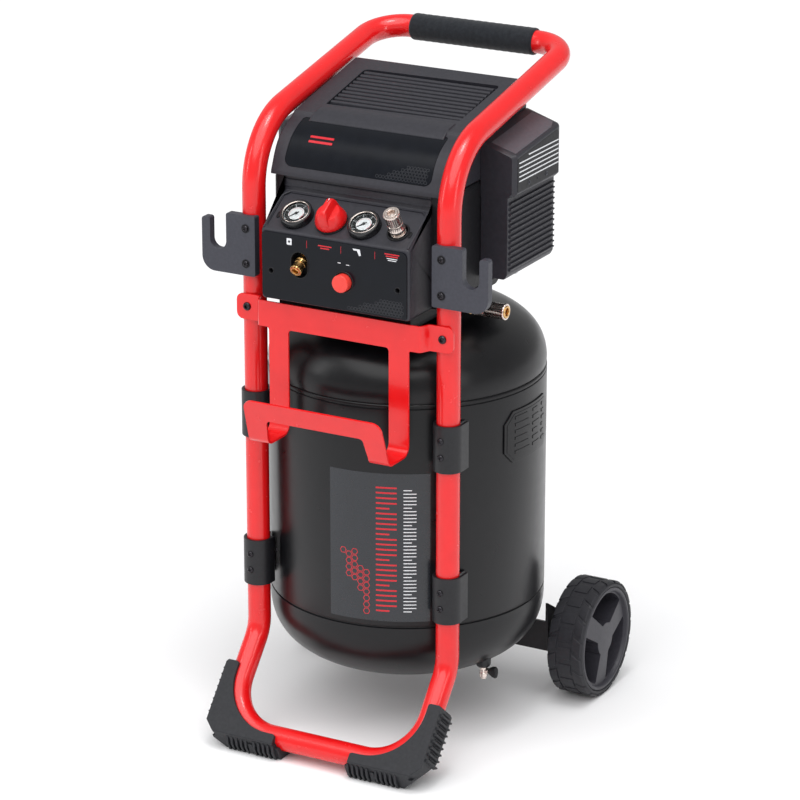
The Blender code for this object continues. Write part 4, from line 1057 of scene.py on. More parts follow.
def wheel_hub(label, body, spot, half, rim):
    """Moulded dish with three broad arms between kidney openings."""
    face = half - 0.0030
    disc = lathe([(0.0064, -half + 0.002), (0.0130, -half + 0.002), (0.0130, -0.010), (rim - 0.004, -0.010),
                  (rim - 0.004, -half + 0.001),
                  (rim, -half + 0.001), (rim, half - 0.0012), (rim - 0.0016, half - 0.0006),
                  (rim - 0.0036, half - 0.0006),
                  (rim - 0.0050, half - 0.0018), (rim - 0.0062, face - 0.0030), (0.0400, face - 0.0008),
                  (0.0200, face + 0.0008),
                  (0.0080, face + 0.0012), (0, face + 0.0012), (0, half - 0.0130), (0.0064, half - 0.0130)],
                  96, closed=True)
    cutters = []
    for k in range(3):
        mid = 54 + 120 * k
        outline = arc((0, 0), rim - 0.0085, mid - 46, mid + 46, 16)
        outline += arc((0, 0), 0.0235, mid + 28, mid - 28, 8)
        outline = soften(outline, [0.006 if i in (0, 16, 17, 25) else 0 for i in range(len(outline))], 5)
        cutters.append(prism(outline, -half - 0.01, half + 0.01, "Z"))
    shape = carve(disc, cutters)
    put("hub_dish_" + label, moved(shape, spot), HUB, body, ["hub_" + label], bevel=0.0010,
        steps=3, angle=35)
    # Backing disc and ribs behind the kidney openings, in darker moulding than the hub dish: painted shade
    # inside the openings.
    backing = lathe([(0.0135, -0.0120), (rim - 0.0045, -0.0120), (rim - 0.0045, -0.0135), (0.0135, -0.0135)],
                    64, closed=True)
    ribs = []
    for k in range(6):
        ribs.append(moved(block((0.0130, rim - 0.0045), (-0.0011, 0.0011), (-0.0122, -0.0060)),
                          turn(60 * k + 30, "Z")))
    put("hub_depth_" + label, moved(join([backing] + ribs), spot), DARK, body, bevel=0.0003)


# ---------------------------------------------------------------- housing
def deck_cut(x, radius, depth=0.012):
    return moved(lathe([(0, -depth), (radius, -depth), (radius, 0.02), (0, 0.02)], 40), DECK @ shift(x))


def port_outline(grow=0.0):
    half_w, rise = 0.0125 + grow, 0.0050
    return (arc((PORT_X, PORT_Z - 0.0005 + rise), half_w, 0, 180, 18)
            + arc((PORT_X, PORT_Z - 0.0005 - rise), half_w, 180, 360, 18))


FASCIA_SCREWS = ((-0.0957, 0.6777), (0.0959, 0.6785))


def housing_front():
    profile = [(FASCIA_Y, HOUSING_LOW), (0.060, HOUSING_LOW), (0.060, SEAM_Z - 0.0002),
               (0.0195, SEAM_Z - 0.0002),
               (0.0195, 0.7880), (0.0172, 0.7866), (0.0188, 0.7862), (0.0184, 0.7790), (0.0166, 0.7776),
               (0.0180, 0.7772),
               DECK_BACK, DECK_FRONT]
    profile = soften(profile, [0.004, 0.002, 0, 0.001, 0.0006, 0.0006, 0.0003, 0.0006, 0.0006, 0.0003, 0.003,
                               0.004], 4)
    shape = loft_x(profile, PANEL_HALF, 0.0045)
    slope = math.hypot(DECK_BACK[0] - DECK_FRONT[0], DECK_BACK[1] - DECK_FRONT[1])
    lower = -(CONTROL_Y - DECK_FRONT[0]) / math.cos(DECK_ANGLE)
    field = soften(box_outline((-0.1065, lower + 0.0045), (0.1065, lower + slope - 0.0040)), 0.006)
    cutters = [moved(prism(field, -0.0014, 0.01, "Z"), DECK),
               prism(port_outline(), FASCIA_Y - 0.01, FASCIA_Y + 0.017, "Y"),
               moved(lathe([(0, -0.018), (0.0131, -0.018), (0.0131, 0.01), (0, 0.01)], 40),
                     shift(BUTTON_X, FASCIA_Y, BUTTON_Z) @ FACING_FRONT),
               deck_cut(0.082, 0.0150, 0.010)]
    for x, z in FASCIA_SCREWS:
        cutters.append(moved(lathe([(0, -0.0075), (0.0036, -0.0075), (0.0036, 0.01), (0, 0.01)], 28),
                             shift(x, FASCIA_Y, z) @ FACING_FRONT))
    shape = carve(shape, cutters)
    put("housing_front", shape, CHARCOAL, stands_for=["housing_lower"], angle=35)
    rims = []
    for side in (-1, 1):
        path = fillet_path([(side * 0.1088, lower + 0.003, 0.0002),
                            (side * 0.1088, lower + slope - 0.010, 0.0002),
                            (side * 0.1000, lower + slope - 0.0025, 0.0002)], (0.008,), 8)
        rims.append(moved(pipe(path, 0.0013, 12), DECK))
    put("deck_rims", join(rims), CHARCOAL, weighted=False)
    slots = []
    for x in (-0.0985, 0.1000):
        outline = soften(box_outline((x - 0.0013, 0.0000), (x + 0.0013, 0.0085)), 0.0012, 4)
        slots.append(moved(prism(outline, -0.0016, -0.0010, "Z"), DECK @ shift(0, -0.006, 0)))
        ring = soften(box_outline((x - 0.0022, -0.0009), (x + 0.0022, 0.0094)), 0.0021, 4)
        hole = soften(box_outline((x - 0.0014, 0.0), (x + 0.0014, 0.0085)), 0.0012, 4)
        slots.append(moved(carve(prism(ring, -0.0016, -0.0002, "Z"), [prism(hole, -0.01, 0.01, "Z")]),
                           DECK @ shift(0, -0.006, 0)))
    put("deck_slots", join(slots), DARK, weighted=False)


def housing_body():
    profile = soften(box_outline((0.0200, HOUSING_LOW), (BACK_Y, SEAM_Z - 0.0002)), [0.004, 0.008, 0.0, 0.0],
                     5)
    shape = loft_x(profile, BODY_HALF, 0.009)
    room = block((-BODY_HALF + 0.0035, BODY_HALF - 0.0035), (0.0240, BACK_Y - 0.0035),
                 (HOUSING_LOW - 0.02, SEAM_Z + 0.01))
    gap = block((-PANEL_HALF + 0.004, PANEL_HALF - 0.004), (0.010, 0.030),
                (HOUSING_LOW - 0.02, SEAM_Z + 0.01))
    shape = carve(shape, [room, gap])
    put("housing_body", shape, DARK, angle=35)
    outline = soften(box_outline((-SKIRT_HALF, SKIRT_LOW), (SKIRT_HALF, HOUSING_LOW + 0.0005)),
                     [0.020, 0.020, 0, 0], 10)
    inner = soften(box_outline((-SKIRT_HALF + 0.003, SKIRT_LOW + 0.003),
                               (SKIRT_HALF - 0.003, HOUSING_LOW + 0.01)),
                   [0.018, 0.018, 0, 0], 10)
    skirt = carve(prism(outline, -0.018, 0.235, "Y"), [prism(inner, -0.0145, 0.2315, "Y")])
    put("housing_skirt", skirt, DARK, bevel=0.0015, steps=3)
    vents = []
    for row in range(9):
        z = HOUSING_LOW + 0.024 + 0.0125 * row
        vents.append(moved(prism(soften(box_outline((-0.070, z), (0.070, z + 0.0052)), 0.0025, 4), 0.0,
                                 0.0016, "Y"),
                           shift(0, BACK_Y - 0.0010)))
    put("rear_louvres", join(vents), CHARCOAL, bevel=0.0004)
    spots = [(x, BACK_Y - 0.0002, z, FACING_BACK) for x in (-0.112, 0.112) for z in (0.660, 0.780)]
    screws("rear_screws", 0.0042, spots)


def face_curve(s):
    """Point and outward normal on the cover's front curve at a share s of its length."""
    dense = soften_line(FACE_LINE)
    lengths = [0.0]
    for a, b in zip(dense, dense[1:]):
        lengths.append(lengths[-1] + math.hypot(b[0] - a[0], b[1] - a[1]))
    want = s * lengths[-1]
    for i in range(len(dense) - 1):
        if want <= lengths[i + 1] or i == len(dense) - 2:
            t = (want - lengths[i]) / (lengths[i + 1] - lengths[i])
            a, b = Vector(dense[i]), Vector(dense[i + 1])
            along = (b - a).normalized()
            return a.lerp(b, t), Vector((-along.y, along.x)), lengths[-1]


def soften_line(points, rounds=3):
    """An open line with its corners cut until it is smooth; both ends stay."""
    line = list(points)
    for _ in range(rounds):
        fresh = [line[0]]
        for a, b in zip(line, line[1:]):
            fresh.append((a[0] * 0.75 + b[0] * 0.25, a[1] * 0.75 + b[1] * 0.25))
            fresh.append((a[0] * 0.25 + b[0] * 0.75, a[1] * 0.25 + b[1] * 0.75))
        fresh.append(line[-1])
        line = fresh
    return line


TOP_A, TOP_B = Vector((0.0760, 0.8655)), Vector((0.2440, 0.9021))


def on_top(x, y, height=0.0):
    """A point on the cover's sloping top."""
    along = (TOP_B - TOP_A).normalized()
    base = TOP_A + along * ((y - TOP_A.x) / along.x)
    normal = Vector((-along.y, along.x))
    spot = base + normal * height
    return Vector((x, spot.x, spot.y))


def housing_cover():
    seam = SEAM_Z + 0.0009
    below = seam - 0.014
    front = soften_line([(0.0125, seam), (0.0128, seam + 0.004)] + FACE_LINE + [tuple(TOP_A)], 2)
    back = soften([tuple(TOP_A), tuple(TOP_B), (0.2515, 0.8985), (BACK_Y, 0.889), (BACK_Y, below),
                   (0.10, below)],
                  [0, 0.010, 0.008, 0.010, 0, 0], 4)[1:]
    profile = [(0.0118, below)] + front + back[:-1]
    shape = loft_x(profile, BODY_HALF, 0.0030, 5)
    room = [(0.024, below - 0.01), (0.030, 0.822), (0.046, 0.8400), (0.078, 0.8540), (0.2400, 0.8890),
            (BACK_Y - 0.0045, 0.880),
            (BACK_Y - 0.0045, below - 0.01)]
    room_shape = prism(room, -BODY_HALF + 0.0045, BODY_HALF - 0.0045, "X")
    outline = inlay_outline(0.0004)
    pocket = curved_slab(outline, -0.0016, 0.0060)
    field = soften([(-0.0960, 0.1035), (0.1050, 0.1085), (0.1090, 0.2165), (-0.0970, 0.2130)],
                   [0.002, 0.002, 0.006, 0.006], 5)
    top = bmesh.new()
    low_ring = [top.verts.new(on_top(x, y, -0.0050)) for x, y in field]
    high_ring = [top.verts.new(on_top(x, y, 0.0100)) for x, y in field]
    skin(top, [low_ring, high_ring])
    skirt = block((-0.2, 0.2), (-0.1, 0.4), (below - 0.02, seam))
    shape = carve(shape, [room_shape, pocket, top, skirt])
    put("housing_cover_shell", shape, CHARCOAL, stands_for=["housing_cover"],
        angle=32)
    ribs = []
    for k in range(10):
        y = 0.1125 + 0.0101 * k
        section = [(0.0, -0.0050), (0.0072, -0.0050), (0.0060, -0.0010), (0.0034, -0.0004), (0.0012, -0.0012)]
        rib = bmesh.new()
        ends = []
        for x in (-0.0950, 0.1040):
            ends.append([rib.verts.new(on_top(x, y + a, h)) for a, h in section])
        skin(rib, ends)
        ribs.append(rib)
    put("cover_top_ribs", join(ribs), CHARCOAL, bevel=0.0007, steps=2)
    brow = bmesh.new()
    line = [(0.0635, 0.8572), (0.0700, 0.8608), (0.0820, 0.8668), (0.0985, 0.8704)]
    loops = []
    for x, rise in ((-0.1000, 0.0), (-0.0965, 0.0019), (0.1035, 0.0019), (0.1050, 0.0)):
        ring = [brow.verts.new((x, y, z + rise * (1 if 0 < i < 3 else 0.5))) for i, (y, z) in enumerate(line)]
        ring += [brow.verts.new((x, y, z - 0.003)) for y, z in reversed(line)]
        loops.append(ring)
    skin(brow, loops)
    put("cover_brow", brow, CHARCOAL, bevel=0.0012, steps=3)


def inlay_outline(grow=0.0):
    """Outline of the curved inlay in width and share of the face's length."""
    _, _, length = face_curve(0)
    half = 0.1110 + grow
    low, high = 0.004 - grow, length - 0.003 + grow
    points = [(-half, low), (half, low), (half - 0.0015, high), (-half + 0.0015, high)]
    return soften(points, [0.0110, 0.0110, 0.0050, 0.0050], 8)


def curved_slab(outline, low, high):
    """A slab that follows the cover's front curve; the outline is (x, distance up the face)."""
    _, _, length = face_curve(0)
    shape = bmesh.new()
    verts = [shape.verts.new((x, s, 0)) for x, s in outline]
    edges = [shape.edges.new((verts[i - 1], verts[i])) for i in range(len(verts))]
    bmesh.ops.triangle_fill(shape, use_beauty=True, use_dissolve=False, edges=edges)
    for k in range(1, 22):
        everything = shape.verts[:] + shape.edges[:] + shape.faces[:]
        bmesh.ops.bisect_plane(shape, geom=everything, dist=1e-6, plane_co=(0, length * k / 22, 0),
                               plane_no=(0, 1, 0))
    extruded = bmesh.ops.extrude_face_region(shape, geom=shape.faces[:])
    top = {v for v in extruded["geom"] if isinstance(v, bmesh.types.BMVert)}
    for vert in shape.verts:
        spot, normal, _ = face_curve(vert.co.y / length)
        spot = spot + normal * (high if vert in top else low)
        vert.co = Vector((vert.co.x, spot.x, spot.y))
    return shape


def front_inlay():
    put("curved_inlay", curved_slab(inlay_outline(-0.0003), -0.0015, -0.0002), GLOSS,
        stands_for=["front_inlay"], angle=30)
    _, _, length = face_curve(0)
    radius = 0.0026
    cells = []
    for row in range(5):
        for column in range(17):
            x = 0.0300 + column * radius * 1.86 + (row % 2) * radius * 0.93
            if column < row * 2.2 or x > 0.104:
                continue
            cells.append((x, 0.0085 + row * radius * 1.62))

    def place(a, b, height):
        spot, normal, _ = face_curve(b / length)
        spot = spot + normal * (height - 0.0003)
        return Vector((a, spot.x, spot.y))

    put("inlay_honeycomb", honeycomb(cells, radius * 0.95, 0.0006, place, 0.00025), DARK_INK,
        weighted=False)
    bars = []
    for x0, x1, s0, s1 in ((-0.083, -0.047, 0.040, 0.0435), (-0.083, -0.047, 0.0475, 0.0510)):
        bars.append(curved_slab(soften([(x0, s0), (x1, s0), (x1, s1), (x0, s1)], 0.0008, 3), -0.0004,
                                0.00005))
    put("inlay_accent_bars", join(bars), RED_INK, weighted=False)


def control_panel():
    half, low, high = 0.1095, 0.6395, 0.7310
    outline = soften([(-half, low), (half, low), (half, high), (-half, high)], [0.007, 0.004, 0.008, 0.005],
                     6)
    front, back = FASCIA_Y - 0.0019, FASCIA_Y - 0.0001
    ring_hole = moved(lathe([(0, -0.02), (0.0131, -0.02), (0.0131, 0.02), (0, 0.02)], 40),
                      shift(BUTTON_X, FASCIA_Y, BUTTON_Z) @ FACING_FRONT)
    cutters = [prism(port_outline(), FASCIA_Y - 0.02, FASCIA_Y + 0.02, "Y"), ring_hole]
    for x, z in FASCIA_SCREWS:
        cutters.append(moved(lathe([(0, -0.02), (0.0038, -0.02), (0.0038, 0.02), (0, 0.02)], 28),
                             shift(x, FASCIA_Y, z) @ FACING_FRONT))
    put("control_fascia", carve(prism(outline, front, back, "Y"), cutters), GLOSS,
        stands_for=["control_panel"], bevel=0.0005, steps=2, angle=30)
    y0, y1 = front - 0.00015, front + 0.0003
    marks = []
    for x in (-0.0407, 0.0110, 0.0620):
        marks.append(block((x - 0.00025, x + 0.00025), (y0, y1), (0.7165, 0.7265)))
    for x0, x1, z in ((-0.0235, -0.0030, 0.7228), (-0.0200, -0.0065, 0.7196), (0.0765, 0.0985, 0.7262),
                      (0.0785, 0.0965, 0.7232)):
        marks.append(block((x0, x1), (y0, y1), (z - 0.0008, z + 0.0008)))
    put("fascia_red_marks", join(marks), RED_INK, weighted=False)
    pale = []
    pale.append(prism(soften(box_outline((-0.0712, 0.7172), (-0.0636, 0.7262)), 0.0012, 3), y0, y1, "Y"))
    pale.append(prism([(0.0290, 0.7262), (0.0300, 0.7240), (0.0352, 0.7240), (0.0386, 0.7172),
                       (0.0412, 0.7180), (0.0396, 0.7262)],
                      y0, y1, "Y"))
    for x0, x1, z in ((0.0062, 0.0108, 0.7035), (0.0190, 0.0236, 0.7022), (0.0800, 0.0955, 0.7202),
                      (0.0815, 0.0940, 0.7178)):
        pale.append(block((x0, x1), (y0, y1), (z - 0.0005, z + 0.0005)))
    put("fascia_pale_marks", join(pale), WHITE_INK, weighted=False)
    dot = lathe([(0, 0), (0.0016, 0), (0.0016, 0.0003), (0, 0.0003)], 20)
    put("fascia_mark_dot", moved(dot, shift(-0.0674, y0 + 0.0001, 0.7217) @ FACING_FRONT), DARK_INK,
        weighted=False)
    radius = 0.0026
    cells = []
    for row in range(5):
        for column in range(19):
            x = 0.0230 + column * radius * 1.86 + (row % 2) * radius * 0.93
            if column < row * 2.4 or x > 0.1045:
                continue
            cells.append((x, 0.6440 + row * radius * 1.62))

    def place(a, b, height):
        return Vector((a, front - height + 0.0001, b))

    put("fascia_honeycomb", honeycomb(cells, radius * 0.95, 0.0006, place, 0.00025), DARK_INK,
        weighted=False)
    oval = carve(prism(port_outline(0.0014), front - 0.0006, FASCIA_Y + 0.0165, "Y"),
                 [prism(port_outline(-0.0001), front - 0.01, FASCIA_Y + 0.0155, "Y")])
    put("port_well", oval, DARK, bevel=0.0004, steps=2)
    collar = lathe([(BUTTON_R + 0.0006, -0.0175), (0.0150, -0.0175), (0.0150, 0.0022), (0.0144, 0.0030),
                    (0.0134, 0.0030),
                    (BUTTON_R + 0.0006, 0.0018)], 56, closed=True)
    put("button_collar", moved(collar, shift(BUTTON_X, FASCIA_Y, BUTTON_Z) @ FACING_FRONT), DARK,
        weighted=False, angle=35)
    seats = []
    for x, z in FASCIA_SCREWS:
        seats.append(moved(lathe([(0.0031, -0.0060), (0.0046, -0.0060), (0.0046, 0.0020), (0.0042, 0.0024),
                                  (0.0036, 0.0024),
                                  (0.0031, 0.0016)], 32, closed=True), shift(x, FASCIA_Y, z) @ FACING_FRONT))
    put("fascia_screw_wells", join(seats), DARK, weighted=False, angle=35)
    screws("fascia_screws", 0.0029, [(x, FASCIA_Y + 0.0062, z, FACING_FRONT) for x, z in FASCIA_SCREWS])


# ---------------------------------------------------------------- side covers
def side_covers():
    """Air ducts: a sloping top over a louvred band, and a finned panel set back below it."""
    front, rear = 0.1200, 0.2578
    step_z, panel_x = 0.7745, 0.1712
    for label, side in SIDES:
        stations = 30
        shape = bmesh.new()
        rings = []
        for k in range(stations + 1):
            t = k / stations
            y = front + (rear - front) * t
            near = min(y - front, rear - y)
            edge_r = 0.006 if y - front < rear - y else 0.014
            depth = edge_r - math.sqrt(max(edge_r ** 2 - max(edge_r - near, 0) ** 2, 0))
            z_out = 0.8300 + 0.0168 * t - depth * 0.35
            z_in = 0.8460 + 0.0166 * t - depth * 0.35
            outer = COVER_OUT - 0.0010 - depth
            line = [(COVER_IN, step_z - 0.004), (panel_x - 0.004, step_z - 0.004), (outer - 0.004, step_z),
                    (outer, step_z + 0.004),
                    (outer, z_out), (COVER_IN, z_in)]
            line = soften(line, [0, 0.001, 0.003, 0.003, 0.0045, 0.001], 4)
            rings.append([shape.verts.new((side * x, y, z)) for x, z in line])
        skin(shape, rings)
        put("side_cover_cap_" + label, shape, CHARCOAL,
            stands_for=["side_cover_" + label], angle=35)
        lower = soften([(COVER_IN, 0.6585), (panel_x - 0.0045, 0.6585), (panel_x, 0.6660), (panel_x, step_z),
                        (COVER_IN, step_z)],
                       [0.001, 0.004, 0.006, 0, 0], 5)
        lower = [(side * x, z) for x, z in lower]
        put("side_cover_lower_" + label, prism(lower, front + 0.0004, rear - 0.0010, "Y"), CHARCOAL,
            bevel=0.0026, steps=4)
        fins = []
        pitch = 0.0076
        for k in range(13):
            z = 0.6690 + pitch * k
            section = [(panel_x - 0.001, z), (panel_x + 0.0016, z + 0.0008), (panel_x + 0.0034, z + 0.0030),
                       (panel_x + 0.0030, z + 0.0040), (panel_x - 0.001, z + 0.0046)]
            section = [(side * x, w) for x, w in section]
            fins.append(prism(section, front + 0.0048, rear - 0.0035, "Y"))
        put("side_cover_fins_" + label, join(fins), CHARCOAL, bevel=0.0005, steps=2)
        band = [(0.1255, 0.7800), (0.2450, 0.7800), (0.2450, 0.8410), (0.1255, 0.8262)]
        band = soften(band, [0.002, 0.002, 0.006, 0.002], 4)
        low, high = sorted((side * (COVER_OUT - 0.0015), side * (COVER_OUT - 0.0006)))
        clipped = prism(band, low, high, "X")
        put("side_cover_band_" + label, clipped, DARK, bevel=0.0003)
        lines = []
        for k in range(6):
            z = 0.7948 + 0.0062 * k
            begin = 0.1285 if z < 0.8225 else 0.1285 + (z - 0.8215) * 6.4
            low, high = sorted((side * (COVER_OUT - 0.0010), side * COVER_OUT))
            lines.append(prism(soften(box_outline((begin, z - 0.00075), (0.2440, z + 0.00075)), 0.0006, 3),
                               low, high, "X"))
        put("side_cover_louvres_" + label, join(lines), WHITE_INK, weighted=False)
        holes = []
        for y, radius in ((0.1585, 0.0030), (0.1835, 0.0016), (0.2095, 0.0030)):
            low, high = sorted((side * (COVER_OUT - 0.0010), side * (COVER_OUT - 0.00005)))
            ring = prism(arc((y, 0.7868), radius, 0, 345, 23), low, high, "X")
            holes.append(carve(ring, [prism(arc((y, 0.7868), radius * 0.62, 0, 345, 23), low - 0.01,
                                            high + 0.01, "X")]))
        put("side_cover_eyelets_" + label, join(holes), HOOK, weighted=False)
        lid = bmesh.new()
        rows = []
        for k in range(9):
            t = k / 8
            y = front + 0.0075 + (rear - front - 0.0190) * t
            t = (y - front) / (rear - front)
            z_out, z_in = 0.8300 + 0.0168 * t, 0.8460 + 0.0166 * t
            rows.append([])
            for share in (0.22, 0.90 if k < 8 else 0.80):
                x = COVER_IN + (COVER_OUT - COVER_IN) * share
                z = z_in + (z_out - z_in) * share
                rows[-1].append((x, y, z))
        for level in (0.00035, -0.0010):
            for row in rows:
                for x, y, z in row:
                    lid.verts.new((side * x, y, z + level))
        lid.verts.ensure_lookup_table()
        offset = len(rows) * 2
        v = lid.verts
        for k in range(len(rows) - 1):
            a, b = 2 * k, 2 * k + 2
            lid.faces.new((v[a], v[a + 1], v[b + 1], v[b]))
            lid.faces.new((v[a + offset + 1], v[a + offset], v[b + offset], v[b + offset + 1]))
            lid.faces.new((v[a], v[b], v[b + offset], v[a + offset]))
            lid.faces.new((v[a + 1], v[a + 1 + offset], v[b + 1 + offset], v[b + 1]))
        last = offset - 2
        lid.faces.new((v[0], v[offset], v[offset + 1], v[1]))
        lid.faces.new((v[last], v[last + 1], v[last + offset + 1], v[last + offset]))
        put("side_cover_lid_" + label, lid, PALE, bevel=0.0003)
        foot = lathe([(0, -0.0035), (0.0050, -0.0035), (0.0060, -0.0020), (0.0060, 0.0030), (0, 0.0030)], 28)
        put("side_cover_foot_" + label, moved(foot, shift(side * 0.158, 0.165, 0.6585)), WHITE_INK,
            weighted=False)


# ---------------------------------------------------------------- controls
def gauges():
    for label, x in (("left", -0.0705), ("right", 0.032)):
        spot = DECK @ shift(x)
        r = 0.0225
        case = lathe([(0, -0.0040), (r + 0.0004, -0.0040), (r + 0.0004, -0.0010), (r, 0.0000), (r, 0.0068),
                      (r - 0.0004, 0.0084),
                      (r - 0.0012, 0.0093), (r - 0.0024, 0.0095), (r - 0.0032, 0.0092), (r - 0.0034, 0.0085),
                      (r - 0.0034, 0.0045),
                      (0, 0.0045)], 72)
        put("gauge_housing_" + label, moved(case, spot), BEZEL,
            stands_for=["gauge_case_" + label], weighted=False)
        ring = lathe([(r - 0.0036, 0.0070), (r - 0.0034, 0.0086), (r - 0.0040, 0.0090), (r - 0.0046, 0.0086),
                      (r - 0.0046, 0.0070)],
                     72, closed=True)
        put("gauge_ring_" + label, moved(ring, spot), NICKEL, weighted=False)
        dial = lathe([(0, 0.0044), (r - 0.0036, 0.0044), (r - 0.0036, 0.00485), (0, 0.00485)], 64)
        put("gauge_dial_" + label, moved(dial, spot), INK, weighted=False)
        disc = lathe([(0, 0.00480), (0.0109, 0.00480), (0.0109, 0.00500), (0, 0.00500)], 56)
        put("gauge_dial_disc_" + label, moved(disc, spot), DIAL, weighted=False)
        ticks, reds = [], []
        for k in range(51):
            angle = 225 - 270 * k / 50
            long = k % 10 == 0
            inner = r - (0.0078 if long else 0.0066)
            width = 0.00034 if long else 0.00016
            tick = moved(block((inner, r - 0.0052), (-width, width), (0.0048, 0.0051)), turn(angle, "Z"))
            (reds if k > 40 else ticks).append(tick)
        put("gauge_scale_" + label, moved(join(ticks), spot), WHITE_INK, weighted=False)
        band = arc((0, 0), 0.0108, 225 - 216, -45, 14) + arc((0, 0), 0.0102, -45, 225 - 216, 14)
        reds.append(prism(band, 0.0049, 0.0051, "Z"))
        red_arc = arc((0, 0), 0.0095, 225, 9, 30) + arc((0, 0), 0.0092, 9, 225, 30)
        reds.append(prism(red_arc, 0.0049, 0.0051, "Z"))
        put("gauge_red_scale_" + label, moved(join(reds), spot), RED_INK, weighted=False)
        numerals = []
        for k in range(0, 6):
            curve = bpy.data.curves.new("numeral", "FONT")
            curve.body = str(2 * k)
            curve.size = 0.0033
            curve.align_x = "CENTER"
            curve.align_y = "CENTER"
            curve.extrude = 0.0001
            text = bpy.data.objects.new("numeral", curve)
            bpy.context.scene.collection.objects.link(text)
            glyph = bmesh.new()
            glyph.from_mesh(evaluated(text))
            bpy.data.objects.remove(text, do_unlink=True)
            angle = math.radians(225 - 270 * k / 5)
            numerals.append(moved(glyph, shift(0.0132 * math.cos(angle), 0.0132 * math.sin(angle), 0.0049)))
        put("gauge_numerals_" + label, moved(join(numerals), spot), WHITE_INK,
            weighted=False)
        lens = lathe([(0, 0.0086), (0.008, 0.0085), (0.014, 0.0082), (r - 0.0047, 0.0077),
                      (r - 0.0047, 0.0070), (0, 0.0076)], 56)
        put("gauge_window_" + label, moved(lens, spot), LENS,
            stands_for=["gauge_lens_" + label], weighted=False)
        start = 225
        pointer = [(-0.0042, -0.0009), (-0.0010, -0.0006), (0.0, -0.0013), (0.0100, -0.0003),
                   (0.0145, -0.0001)]
        pointer += [(a, -b) for a, b in reversed(pointer)]
        needle = moved(prism(pointer, 0.0053, 0.0058, "Z"), turn(start, "Z"))
        cap = lathe([(0, 0.0052), (0.0022, 0.0052), (0.0022, 0.0060), (0.0015, 0.0064), (0, 0.0065)], 24)
        put("gauge_pointer_" + label, moved(join([needle, cap]), spot), INK, "gauge_needle_" + label,
            ["gauge_needle_" + label], weighted=False)


def regulator():
    spot = DECK @ shift(-0.018)
    skirt = lathe([(0.0045, 0.0010), (0.0206, 0.0010), (0.0214, 0.0018), (0.0215, 0.0040), (0.0208, 0.0080),
                   (0.0192, 0.0130),
                   (0.0166, 0.0178), (0.0150, 0.0190), (0, 0.0196), (0, 0.0160), (0.0045, 0.0160)], 72,
                   closed=True)
    stations = ((0.0030, 0.0082, 0.0202), (0.0120, 0.0080, 0.0200), (0.0220, 0.0070, 0.0186),
                (0.0275, 0.0060, 0.0160),
                (0.0302, 0.0042, 0.0128), (0.0309, 0.0024, 0.0100))
    bar = bmesh.new()
    rings = []
    for height, half_w, reach in stations:
        outline = soften([(-half_w, -reach), (half_w, -reach), (half_w * 0.86, reach),
                          (-half_w * 0.86, reach)], 0.0030, 5)
        rings.append([bar.verts.new((x, y, height)) for x, y in outline])
    skin(bar, rings)
    room = lathe([(0, -0.01), (0.0045, -0.01), (0.0045, 0.0160), (0, 0.0160)], 24)
    shape = carve(carve(skirt, [bar], "UNION"), [room])
    put("regulator_handwheel", moved(shape, spot), RED_PLASTIC, "regulator_knob",
        ["regulator_knob"],
        angle=32, bevel=0.0004)
    notches = []
    for k in range(28):
        notches.append(moved(block((0.0196, 0.0219), (-0.0006, 0.0006), (0.0014, 0.0062)),
                             turn(360 / 28 * k, "Z")))
    put("regulator_grip_teeth", moved(join(notches), spot), RED_PLASTIC, "regulator_knob",
        bevel=0.0003)
    mark = prism(soften(box_outline((-0.0006, 0.0060), (0.0006, 0.0128)), 0.0005, 3), 0.0300, 0.0309, "Z")
    put("regulator_mark", moved(mark, spot), WHITE_INK, "regulator_knob", weighted=False)
    washer = lathe([(0.0060, -0.0016), (0.0225, -0.0016), (0.0225, 0.0002), (0.0220, 0.0007),
                    (0.0060, 0.0007)], 64, closed=True)
    put("regulator_seat", moved(washer, spot), DARK, weighted=False, angle=35)


def coupler(name, spot, start, length, radius, body_mat, sleeve_mat, bore, knurl=24):
    """Quick coupler: hex and stem, hollow mouth, and a knurled sleeve on its own body."""
    core = radius - 0.0030
    low = start + (length - start) * 0.45
    flange = radius - 0.0008
    stem = core - 0.0020
    seat = length - 0.0065
    line = [(0, start), (stem, start), (stem, low - 0.0065), (flange - 0.0006, low - 0.0065),
            (flange, low - 0.0062), (flange, low - 0.0056),
            (flange - 0.0004, low - 0.0052), (core, low - 0.0052), (core, length - 0.0005),
            (core - 0.0005, length), (bore + 0.0004, length),
            (bore, length - 0.0006), (bore, seat), (bore * 0.55, seat), (bore * 0.55, seat + 0.0022),
            (bore * 0.40, seat + 0.0026),
            (0, seat + 0.0026)]
    body = [lathe(line, 48)]
    nut_low = start + (low - 0.0065 - start) * 0.45
    body.append(prism(hexagon((0, 0), stem * 1.42), nut_low, nut_low + (low - 0.0065 - nut_low) * 0.75, "Z"))
    put(name + "_core", moved(join(body), spot), body_mat, stands_for=[name + "_body"],
        bevel=0.0002, angle=30)
    waist = radius - 0.0009
    end = length - 0.0012
    band = (length - 0.0045 - low - 0.005)
    sleeve = [(core + 0.0003, low), (radius - 0.0004, low), (radius, low + 0.0004), (radius, low + 0.0036),
              (waist, low + 0.0046),
              (waist, low + 0.0050 + band * 0.28), (waist - 0.0005, low + 0.0050 + band * 0.30),
              (waist - 0.0005, low + 0.0050 + band * 0.36),
              (waist, low + 0.0050 + band * 0.38), (waist, length - 0.0050),
              (radius - 0.0001, length - 0.0040), (radius, length - 0.0036),
              (radius, end - 0.0006), (radius - 0.0006, end), (core + 0.0003, end)]
    put(name + "_ring", moved(lathe(sleeve, 96, closed=True, bumps=knurl, bump_depth=0.00035,
                                    bumpy=(2, 3, 10, 11, 12)), spot), sleeve_mat,
        name + "_sleeve", [name + "_sleeve"], weighted=False, angle=35)


